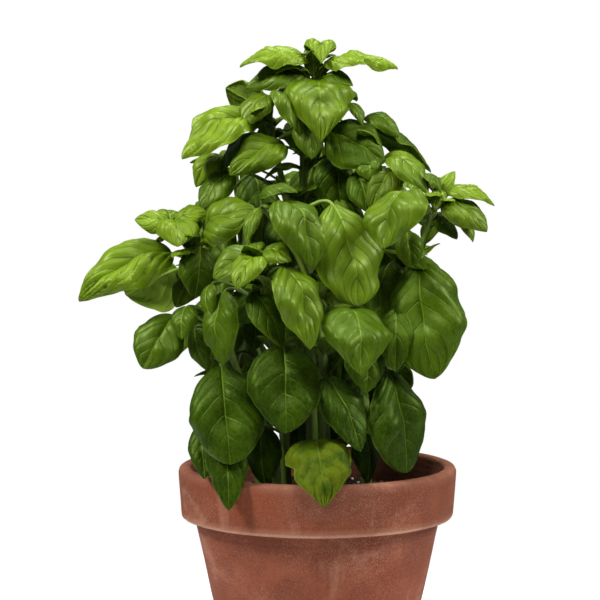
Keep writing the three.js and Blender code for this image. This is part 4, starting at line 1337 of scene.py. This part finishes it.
# Crumbs and grits, in millimetres: their sizes, how broken and how flat they are, and how deep they lie.
CHANCE_SEED = 11
CRUMB_SIZES = (0.7, 2.3)
GRIT_SIZES = (0.9, 2.0)
LUMP_MODELS = 4
MODEL_SHIFT = 50
GRIT_SHIFT = 7
BREAKS = 0.45
BREAK_SCALE = 900
FLATTENING = (0.7, 1.2)
CRUMB_MARGIN = 2
CRUMB_LIFT = 0.25
CRUMB_TINT = 0.8


def pot_radius(height):
    """The radius of the pot's hollow at a height."""
    slope = (BODY_TOP_RADIUS - FOOT_RADIUS) / COLLAR_FOOT
    if height < SHOULDER:
        return FOOT_RADIUS + slope * height - WALL
    shoulder = FOOT_RADIUS + slope * SHOULDER - WALL
    rise = min((height - SHOULDER) / (POT_HEIGHT - LIP_ROUND - SHOULDER), 1)
    return shoulder + (MOUTH_RADIUS - shoulder) * rise


def quarter(radius, height, round_radius, start, end):
    """Points of a rounded edge's arc, from one angle to another."""
    angles = np.radians(np.linspace(start, end, ARC_STEPS + 1))
    return [(radius + round_radius * math.cos(a), height + round_radius * math.sin(a)) for a in angles]


def stepped(profile, step):
    """A profile with points added, so that none of its steps is longer than step."""
    points = [profile[0]]
    for start, end in zip(profile, profile[1:]):
        count = max(1, math.ceil(math.dist(start, end) / step))
        for i in range(1, count + 1):
            points.append(tuple(a + (b - a) * i / count for a, b in zip(start, end)))
    return points


class BASIL_OT_pot(bpy.types.Operator):
    """Turn the terracotta pot up from its foot, ring by ring, and bore its drainage holes"""

    bl_idname = "basil.pot"
    bl_label = "Terracotta pot"

    def execute(self, context):
        look = context.scene.basil_pot
        profile = [(FOOT_RADIUS, EDGE_ROUND), (BODY_TOP_RADIUS, COLLAR_FOOT)]
        profile += quarter(COLLAR_FOOT_RADIUS - EDGE_ROUND, COLLAR_FOOT + EDGE_ROUND, EDGE_ROUND, -90, 0)
        profile += quarter(COLLAR_TOP_RADIUS - LIP_ROUND, POT_HEIGHT - LIP_ROUND, LIP_ROUND, 0, 90)
        profile += quarter(MOUTH_RADIUS + LIP_ROUND, POT_HEIGHT - LIP_ROUND, LIP_ROUND, 90, 180)
        profile += [(pot_radius(SHOULDER), SHOULDER), (pot_radius(FLOOR), FLOOR), (FLOOR_MIDDLE, FLOOR)]
        rings = stepped(profile, POT_RING_STEP)
        pot, foot_points = self.foot(*rings[0])
        self.turn_up(rings)
        self.round_the_foot(pot, foot_points)
        for i in range(DRAIN_HOLES):
            self.bore(pot, 2 * math.pi * (i + DRAIN_TURN) / DRAIN_HOLES)
        self.weather(pot, look)
        pot.name = pot.data.name = "terracotta_pot"
        pot.data.materials.clear()
        pot.data.materials.append(clay_finish("weathered_terracotta", look))
        finished(pot, "pot")
        smoothed(pot, POT_SMOOTH)
        return {"FINISHED"}

    def foot(self, radius, height):
        """A low drum with its top selected, and the numbers of its lowest points."""
        bpy.ops.object.select_all(action="DESELECT")
        bpy.ops.mesh.primitive_cylinder_add(
            vertices=POT_SIDES, radius=radius * MM, depth=height * MM, location=(0, 0, height / 2 * MM)
        )
        pot = bpy.context.object
        only(pot)
        bpy.ops.object.transform_apply(location=True)
        faces = pot.data.polygons
        top = max(faces, key=lambda face: face.normal.z)
        lowest = min(faces, key=lambda face: face.normal.z)
        pot.data.vertices.foreach_set("select", [False] * len(pot.data.vertices))
        pot.data.edges.foreach_set("select", [False] * len(pot.data.edges))
        faces.foreach_set("select", [face.index == top.index for face in faces])
        return pot, set(lowest.vertices)

    def turn_up(self, rings):
        """Extrude the selected top from ring to ring, drawn in or let out to each one's radius."""
        bpy.ops.object.mode_set(mode="EDIT")
        bpy.ops.mesh.select_mode(type="FACE")
        for (radius, height), (next_radius, next_height) in zip(rings, rings[1:]):
            step = (0, 0, (next_height - height) * MM)
            bpy.ops.mesh.extrude_region_move(TRANSFORM_OT_translate={"value": step})
            ratio = next_radius / radius
            bpy.ops.transform.resize(value=(ratio, ratio, 1), center_override=(0, 0, next_height * MM))
        bpy.ops.mesh.select_all(action="SELECT")
        bpy.ops.mesh.normals_make_consistent(inside=False)
        done()

    def round_the_foot(self, pot, foot_points):
        """Draw the foot's lowest ring in, so that its edge is rounded as the solid's is."""
        points = points_of(pot)
        for i in foot_points:
            points[i, :2] *= (FOOT_RADIUS - EDGE_ROUND) / FOOT_RADIUS
        put_points(pot, points)

    def bore(self, pot, angle):
        """Cut one drainage hole through the floor."""
        spot = (DRAIN_RING_RADIUS * math.cos(angle) * MM, DRAIN_RING_RADIUS * math.sin(angle) * MM, 0)
        bpy.ops.object.select_all(action="DESELECT")
        bpy.ops.mesh.primitive_cylinder_add(
            vertices=DRAIN_SIDES, radius=DRAIN_RADIUS * MM, depth=3 * FLOOR * MM, location=spot
        )
        drill = bpy.context.object
        hole = pot.modifiers.new("hole", "BOOLEAN")
        hole.operation = "DIFFERENCE"
        hole.solver = "EXACT"
        hole.object = drill
        apply(pot, hole)
        bpy.data.objects.remove(drill)

    def weather(self, pot, look):
        """Let the clay wander a little, chip its edges, and keep where it is rubbed and where its inside gets
        painted shade.
        """
        points = points_of(pot)
        wander = np.array([
            sum(share * noise.noise(Vector(p) * scale) for scale, share in WANDER_SCALES) for p in points
        ])
        rough = np.array([noise.noise(Vector(p) * CHIP_SCALE) for p in points])
        radius = np.hypot(points[:, 0], points[:, 1]) / MM
        height = points[:, 2] / MM
        lip = eased(POT_HEIGHT - 2 * LIP_ROUND, POT_HEIGHT - LIP_EDGE, height)
        off_edge = np.abs(height - COLLAR_FOOT - COLLAR_EDGE_RISE)
        collar_edge = eased(*COLLAR_EDGE, off_edge) * (radius > BODY_TOP_RADIUS + COLLAR_STANDS_OUT)
        radii = [FOOT_RADIUS, BODY_TOP_RADIUS, OUTER_RADIUS]
        outline = np.interp(height, [0, COLLAR_FOOT, POT_HEIGHT], radii)
        outer = radius > outline - OUTER_DEPTH
        chips = eased(*CHIP_RANGE, rough) * np.maximum(lip, collar_edge)
        # The foot stays level, and the floor's middle stays flat.
        push = look.unevenness * wander * (height > LEVEL_FOOT) - look.chip_depth * chips
        outwards = np.where(outer, 1.0, INNER_SHARE) / np.maximum(radius * MM, 1e-6)
        points[:, :2] += points[:, :2] * (push * outwards * (radius > FLAT_MIDDLE))[:, None]
        points[:, 2] -= look.chip_depth * 0.5 * chips * lip
        put_points(pot, points)
        # The inside wall is darkened below the lip with painted shade.
        inside = (~outer) * eased(*INSIDE_SHADE, height)
        note(pot, "wear", [np.maximum(lip * LIP_WEAR, collar_edge), inside, 0])


class BASIL_OT_compost(bpy.types.Operator):
    """Fill the pot with lumpy compost, with crumbs and a few white grits on it"""

    bl_idname = "basil.compost"
    bl_label = "Compost"

    def execute(self, context):
        look = context.scene.basil_pot
        self.chance = np.random.default_rng(CHANCE_SEED)
        edge = pot_radius(SOIL_TOP) - SEAT_GAP
        soil = self.bed(edge, look)
        soil.data.materials.append(compost_finish("compost_earth", look))
        crumbs = self.scatter(look.crumbs, CRUMB_SIZES, edge, look, grit=False)
        grits = self.scatter(look.grits, GRIT_SIZES, edge, look, grit=True)
        whole = joined([soil] + crumbs + grits, "compost")
        finished(whole, "soil")
        smoothed(whole, SOIL_SMOOTH)
        return {"FINISHED"}

    def bed(self, edge, look):
        """The body of the compost: a sheet rolled round the pot's axis, from under it to its lumpy top."""
        corners = [(0, FLOOR + SEAT_GAP), (pot_radius(FLOOR) - SEAT_GAP, FLOOR + SEAT_GAP)]
        corners += [(pot_radius(SHOULDER) - SEAT_GAP, SHOULDER), (edge, SOIL_TOP)]
        shares = np.linspace(0, len(corners) - 1, SOIL_UNDER_RINGS + 1)
        under = np.array([np.interp(shares, range(len(corners)), column) for column in zip(*corners)]).T
        top = np.array([(edge * (1 - i / SOIL_TOP_RINGS), SOIL_TOP) for i in range(1, SOIL_TOP_RINGS + 1)])
        rings = np.concatenate([under, top])
        bpy.ops.object.select_all(action="DESELECT")
        soil, across, along = flat_sheet("compost_bed", SOIL_SIDES, len(rings) - 1)
        row = np.rint(along * (len(rings) - 1)).astype(int)
        angle = 2 * np.pi * (np.rint(across * SOIL_SIDES).astype(int) % SOIL_SIDES) / SOIL_SIDES
        radius, height = rings[row, 0], rings[row, 1]
        points = np.stack([radius * np.cos(angle), radius * np.sin(angle), height], axis=1)
        on_top = row > SOIL_UNDER_RINGS
        points[on_top, 2] += [self.lump(x, y, edge, look) for x, y, _ in points[on_top]]
        put_points(soil, points * MM)
        note(soil, "crumb", [0, 0, 0])
        return closed(soil, SOIL_MERGE)

    def lump(self, x, y, edge, look):
        """The height of the compost over its plain level, in millimetres."""
        inside = 1 - math.hypot(x, y) / edge
        along = math.sin(x * LUMP_ALONG[0] + y * LUMP_ALONG[1])
        wave = along + math.cos(x * LUMP_ACROSS[0] + y * LUMP_ACROSS[1]) + inside * LUMP_HEAP
        spot = Vector((x, y, ROUGH_SEED))
        rough = sum(share * noise.noise(spot * scale) for scale, share in ROUGH_SCALES)
        rough *= look.lump_height / MM * min(inside * ROUGH_EDGE, 1)
        return SOIL_LUMP * wave * min(inside * LUMP_EDGE, 1) + rough

    def models(self, grit):
        """A few broken lumps of about a millimetre, to be copied."""
        models = []
        for i in range(LUMP_MODELS):
            bpy.ops.mesh.primitive_ico_sphere_add(subdivisions=2 if grit else 1, radius=MM)
            model = bpy.context.object
            points = points_of(model)
            shift = Vector((MODEL_SHIFT * i + (GRIT_SHIFT if grit else 0), 0, 0))
            points *= np.array([[1 + BREAKS * noise.noise(Vector(p) * BREAK_SCALE + shift)] for p in points])
            points *= self.chance.uniform(*FLATTENING, 3)
            put_points(model, points)
            models.append(model)
        return models

    def scatter(self, count, sizes, edge, look, grit):
        """Broken lumps, each its own size and turn, lying on the compost."""
        material = grit_finish("white_grit", look) if grit else bpy.data.materials["compost_earth"]
        models = self.models(grit)
        pieces = []
        for i in range(count):
            piece = models[i % LUMP_MODELS].copy()
            piece.data = models[i % LUMP_MODELS].data.copy()
            bpy.context.collection.objects.link(piece)
            reach = (edge - CRUMB_MARGIN) * math.sqrt(self.chance.uniform(0, 1))
            bearing = self.chance.uniform(0, 2 * math.pi)
            x, y = reach * math.cos(bearing), reach * math.sin(bearing)
            size = self.chance.uniform(*sizes)
            angle = self.chance.uniform(0, 6.28)
            turn = Matrix.Rotation(angle, 4, Vector(self.chance.normal(0, 1, 3)).normalized())
            lift = SOIL_TOP + self.lump(x, y, edge, look) + CRUMB_LIFT * size
            place = Matrix.Translation(Vector((x, y, lift)) * MM)
            piece.data.transform(place @ turn @ Matrix.Scale(size, 4))
            note(piece, "crumb", [self.chance.uniform(0, CRUMB_TINT), 0, 0])
            piece.data.materials.append(material)
            pieces.append(piece)
        for model in models:
            bpy.data.objects.remove(model)
        return pieces


# The fine stems, in millimetres: the squares of a blade's sheet and how they crowd towards its ends, the
# rib under a blade, the sides and steps of stalks and shoots, and the swelling of the joints.
BLADE_ROWS = (12, 64)
BLADE_HALF_COLUMNS = (5, 18)
BLADE_CROWDING = 0.55
PHASE_START = 40
RIB_REACH = 0.86
RIB_STEPS = 22
RIB_END = 0.92
RIB_POWER = 0.8
RIB_LEAST = 0.18
RIB_OUT = 0.12
RIB_SUNK = 0.75
RIB_START = (-0.02, 0.05)
STALK_SIDES = 8
STALK_STEP = 1.2
STALK_STEPS = (5, 18)
STALK_LENGTH = 40
STALK_SIZES = (0.7, 1.25)
STALK_BOW = 0.3
STALK_TONES = (0.1, 0.8)
STALK_JOINT = 0.6
STALK_JOINT_ROWS = 2
SHOOT_SIDES = 24
SHOOT_STEP = 1.6
SHOOT_SQUARENESS = 0.085
SHOOT_TIP = (0.96, 0.8, 0.45)
JOINT_LENGTH = 2.2
JOINT_SWELL = 0.16
JOINT_TINT = 0.75
JOINT_HEIGHTS = (200, 320)
JOINT_TINTS = (1, 0.2)
SHOOT_HEIGHTS = (110, 170, 330)
SHOOT_TONES = (0.0, 0.3, 0.75)
SHOOT_FOOT = 4
STEM_SEEDS = 10
STEM_SMOOTH = 55


class BASIL_OT_leafy_stem(bpy.types.Operator):
    """Grow one leafy stem: its shoots, its stalks and its veined and puckered blades"""

    bl_idname = "basil.leafy_stem"
    bl_label = "Leafy stem"
    stem: bpy.props.StringProperty(
        name="Stem", description="Which of the stems to grow", default="leafy_stem_centre"
    )

    def execute(self, context):
        look = context.scene.basil_foliage
        table = next(row for row in STEMS if row["name"] == self.stem)
        bpy.ops.object.select_all(action="DESELECT")
        blades, rods = [], []
        seed = STEM_SEEDS * len(self.stem)
        for shoot in table["shoots"]:
            points = [seen(p) for p in shoot["path"]]
            if "root" in shoot:
                foot = [vector(*shoot["root"], SOIL_TOP + rise) for rise in (-ROOT_DEPTH, SHOOT_FOOT)]
                points = foot + points
            curve = Shoot(points)
            leaves = leaves_of(shoot, curve, seed)
            leaves += axil_leaves(leaves, seed)
            seed += len(leaves)
            rods.append(self.shoot_rod(shoot, curve, leaves))
            for leaf in leaves:
                blades.append(self.blade(leaf, look))
                rods.append(self.stalk(leaf, look))
        leafage = joined(blades, "leafage")
        for name, under in (("blade_upper", False), ("blade_under", True)):
            leafage.data.materials.append(made_once(name, blade_finish, look, under))
        thick = leafage.modifiers.new("thickness", "SOLIDIFY")
        thick.thickness = look.blade_thickness
        thick.offset = -1
        thick.material_offset = 1
        apply(leafage, thick)
        framework = closed(joined(rods, "framework"))
        framework.data.materials.append(made_once("stem_and_stalk", stalk_finish, look))
        whole = joined([leafage, framework], self.stem.replace("leafy_stem", "basil_stem"))
        finished(whole, self.stem)
        smoothed(whole, STEM_SMOOTH)
        return {"FINISHED"}

    def blade(self, leaf, look):
        """One blade, from a flat sheet."""
        square = look.square_side / MM
        rows = int(np.clip(leaf.length / square, *BLADE_ROWS))
        columns = 2 * int(np.clip(leaf.wide / square / 2, *BLADE_HALF_COLUMNS))
        sheet, across, along = flat_sheet("blade", columns, rows)
        u = along - BLADE_CROWDING * np.sin(2 * np.pi * along) / (2 * np.pi)
        v = 2 * across - 1
        points, _, half, phase = leaf.blade(u, v, look)
        put_points(sheet, points * MM)
        note(sheet, "leaf", [leaf.tone, leaf.yellow, leaf.seed])
        note(sheet, "blade", [v * half, leaf.length * u, v])
        note(sheet, "veins", [phase + PHASE_START, u, leaf.length / leaf.pairs])
        return sheet

    def stalk(self, leaf, look):
        """A stalk from its shoot to its blade, and on as a rib under the blade."""
        run = np.linspace(0, RIB_REACH, RIB_STEPS)
        ends, normals, _, _ = leaf.blade(run, np.zeros(RIB_STEPS), look)
        start, inwards = ends[0], unit(ends[1] - ends[0])
        reach = np.linalg.norm(leaf.anchor - start)
        rising = leaf.anchor + STALK_BOW * (start - leaf.anchor) + UP * STALK_SPRING * reach
        running_in = start - inwards * STALK_RUN_IN * reach
        thick = STALK_RADIUS * float(np.clip(leaf.length / STALK_LENGTH, *STALK_SIZES))
        steps = int(np.clip(reach / STALK_STEP, *STALK_STEPS))
        t = np.linspace(0, 1, steps + 1)[:-1, None]
        spots = leaf.anchor * (1 - t) ** 3 + 3 * rising * t * (1 - t) ** 2
        spots = spots + 3 * running_in * t**2 * (1 - t) + start * t**3
        radii = thick * np.linspace(STALK_ROOT_SWELL, STALK_END_SWELL, steps + 1)[:-1]
        rib = thick * STALK_END_SWELL * (1 - run / RIB_END) ** RIB_POWER
        sink = np.minimum(RIB_SUNK * rib, rib - RIB_OUT) + look.blade_thickness / MM * 0.5
        under = ends - normals * (sink * eased(*RIB_START, run))[:, None]
        centres = np.concatenate([spots, under])
        radii = np.concatenate([radii, np.maximum(rib, RIB_LEAST)])
        tube, row = rolled_tube("stalk", centres, radii, STALK_SIDES, first=leaf.side)
        old, more = STALK_TONES
        joint = np.where(row < STALK_JOINT_ROWS, STALK_JOINT, 0.0)
        note(tube, "leaf", [old + more * leaf.tone**2, joint, leaf.seed])
        return tube

    def shoot_rod(self, shoot, curve, leaves):
        """A square-sided shoot, a little swollen where its leaves leave it, with a rounded tip."""
        long = curve.run[-1]
        shares = np.linspace(0, 1, int(long / SHOOT_STEP) + 1)
        centres = np.array([curve.at(share) for share in shares])
        joints = np.zeros(len(shares))
        for leaf in leaves:
            joints = np.maximum(joints, np.exp(-(((shares - leaf.place) * long / JOINT_LENGTH) ** 2)))
        radii = np.interp(shares, [0, 1], shoot["radius"]) * (1 + JOINT_SWELL * joints)
        radii[-len(SHOOT_TIP):] *= SHOOT_TIP
        tube, row = rolled_tube("shoot", centres, radii, SHOOT_SIDES, squareness=SHOOT_SQUARENESS)
        height = centres[row, 2]
        tint = JOINT_TINT * joints[row] * np.interp(height, JOINT_HEIGHTS, JOINT_TINTS)
        note(tube, "leaf", [np.interp(height, SHOOT_HEIGHTS, SHOOT_TONES), tint, 0])
        return tube


# ---- the studio ----

# The soft lights: name, setting that holds its power, place and side, in metres. All look at one point.
LAMPS = (
    ("key_light", "key", (-1.3, -0.65, 1.5), 0.4),
    ("side_light", "side", (1.4, -0.45, 1.2), 0.4),
    ("top_light", "top", (0.15, 0.3, 1.9), 0.5),
    ("front_light", "front", (0.1, -1.2, 1.6), 0.6),
)
LIT_POINT = (0, 0, 0.2)
SENSOR = 36
SIGHT_END = 50
FLOOR_RADIUS = 4.0
FLOOR_SIDES = 96
FLOOR_WHITE = 0.8
FLOOR_GLOW = 0.25
FLOOR_FADE = (0.12, 0.5)
# The fill by the height that it comes from: as a share of its setting, from low to high.
FILL_HEIGHTS = (-0.4, 0.9)
FILL_SHARES = (1.3, 2.2)


class BASIL_OT_studio(bpy.types.Operator):
    """Set the floor, the soft lights, the pale surroundings and the camera"""

    bl_idname = "basil.studio"
    bl_label = "Studio"

    def execute(self, context):
        look = context.scene.basil_studio
        bpy.ops.object.select_all(action="DESELECT")
        bpy.ops.mesh.primitive_circle_add(vertices=FLOOR_SIDES, radius=FLOOR_RADIUS, fill_type="NGON")
        floor = context.object
        floor.name = "floor"
        floor.data.materials.append(self.floor_finish())
        for name, setting, spot, side in LAMPS:
            self.soft_light(name, spot, side, getattr(look, setting))
        self.surroundings(context, look)
        pitch = math.radians(90 - EYE_PITCH)
        bpy.ops.object.camera_add(location=(0, -EYE_DISTANCE * MM, EYE_HEIGHT * MM), rotation=(pitch, 0, 0))
        camera = context.object
        camera.name = "camera"
        camera.data.sensor_width = SENSOR
        camera.data.lens = EYE_LENS
        camera.data.shift_x = EYE_SHIFT
        camera.data.clip_end = SIGHT_END
        context.scene.camera = camera
        context.scene.view_settings.view_transform = "Standard"
        return {"FINISHED"}

    def floor_finish(self):
        """A white floor that fades into the surroundings, so that no edge of it shows."""
        f = Finish("studio_floor")
        far = f.add("VectorMath", {0: f.place()}, operation="LENGTH").outputs["Value"]
        white = f.add("BsdfDiffuse", {"Color": (FLOOR_WHITE,) * 3})
        glow = f.add("Emission", {"Color": (1.0, 1.0, 1.0), "Strength": FLOOR_GLOW})
        pale = f.add("AddShader", {0: white.outputs[0], 1: glow.outputs[0]})
        clear = f.add("BsdfTransparent")
        fade = f.spread(far, *FLOOR_FADE)
        return f.close(f.add("MixShader", {0: fade, 1: pale.outputs[0], 2: clear.outputs[0]}))

    def soft_light(self, name, spot, side, power):
        """A square soft light that looks at the middle of the plant."""
        turn = (Vector(LIT_POINT) - Vector(spot)).to_track_quat("-Z", "Y").to_euler()
        bpy.ops.object.light_add(type="AREA", location=spot, rotation=turn)
        light = bpy.context.object
        light.name = name
        light.data.shape = "SQUARE"
        light.data.size = side
        light.data.energy = power

    def surroundings(self, context, look):
        """White to the camera, and a softer fill to everything else."""
        world = bpy.data.worlds.new("studio_white")
        world.use_nodes = True
        nodes, links = world.node_tree.nodes, world.node_tree.links
        nodes.clear()
        output = nodes.new("ShaderNodeOutputWorld")
        mixed = nodes.new("ShaderNodeMixShader")
        path = nodes.new("ShaderNodeLightPath")
        fill, white = (nodes.new("ShaderNodeBackground") for _ in range(2))
        for i, sky in enumerate((fill, white)):
            sky.inputs["Color"].default_value = (*look.backdrop, 1)
            links.new(sky.outputs[0], mixed.inputs[1 + i])
        white.inputs["Strength"].default_value = 1.0
        self.from_above(nodes, links, fill, look.fill)
        links.new(path.outputs["Is Camera Ray"], mixed.inputs[0])
        links.new(mixed.outputs[0], output.inputs[0])
        context.scene.world = world

    def from_above(self, nodes, links, sky, strength):
        """Let the fill come more from above than from below."""
        way = nodes.new("ShaderNodeTexCoord")
        split = nodes.new("ShaderNodeSeparateXYZ")
        rise = nodes.new("ShaderNodeMapRange")
        links.new(way.outputs["Generated"], split.inputs[0])
        links.new(split.outputs["Z"], rise.inputs[0])
        for key, value in enumerate((*FILL_HEIGHTS, *(share * strength for share in FILL_SHARES)), start=1):
            rise.inputs[key].default_value = value
        links.new(rise.outputs[0], sky.inputs["Strength"])


class BASIL_PT_sidebar(bpy.types.Panel):
    """The pieces of the potted basil, with their settings"""

    bl_idname = "BASIL_PT_sidebar"
    bl_label = "Potted basil"
    bl_space_type = "VIEW_3D"
    bl_region_type = "UI"
    bl_category = "Basil"

    def draw(self, context):
        layout = self.layout
        groups = (
            ("basil.pot", context.scene.basil_pot),
            ("basil.compost", None),
            ("basil.leafy_stem", context.scene.basil_foliage),
            ("basil.studio", context.scene.basil_studio),
        )
        for operator, settings in groups:
            layout.operator(operator)
            if settings:
                column = layout.column()
                for key in settings.bl_rna.properties.keys():
                    if key not in ("rna_type", "name"):
                        column.prop(settings, key)


CLASSES = (
    FoliageSettings,
    PotSettings,
    StudioSettings,
    BASIL_OT_pot,
    BASIL_OT_compost,
    BASIL_OT_leafy_stem,
    BASIL_OT_studio,
    BASIL_PT_sidebar,
)
SETTINGS = {"basil_foliage": FoliageSettings, "basil_pot": PotSettings, "basil_studio": StudioSettings}


def register():
    for cls in CLASSES:
        bpy.utils.register_class(cls)
    for name, group in SETTINGS.items():
        setattr(bpy.types.Scene, name, bpy.props.PointerProperty(type=group))


def unregister():
    for name in SETTINGS:
        delattr(bpy.types.Scene, name)
    for cls in reversed(CLASSES):
        bpy.utils.unregister_class(cls)


def main():
    register()
    bpy.ops.basil.pot()
    bpy.ops.basil.compost()
    for stem in STEMS:
        bpy.ops.basil.leafy_stem(stem=stem["name"])
    bpy.ops.basil.studio()


if __name__ == "__main__":
    main()
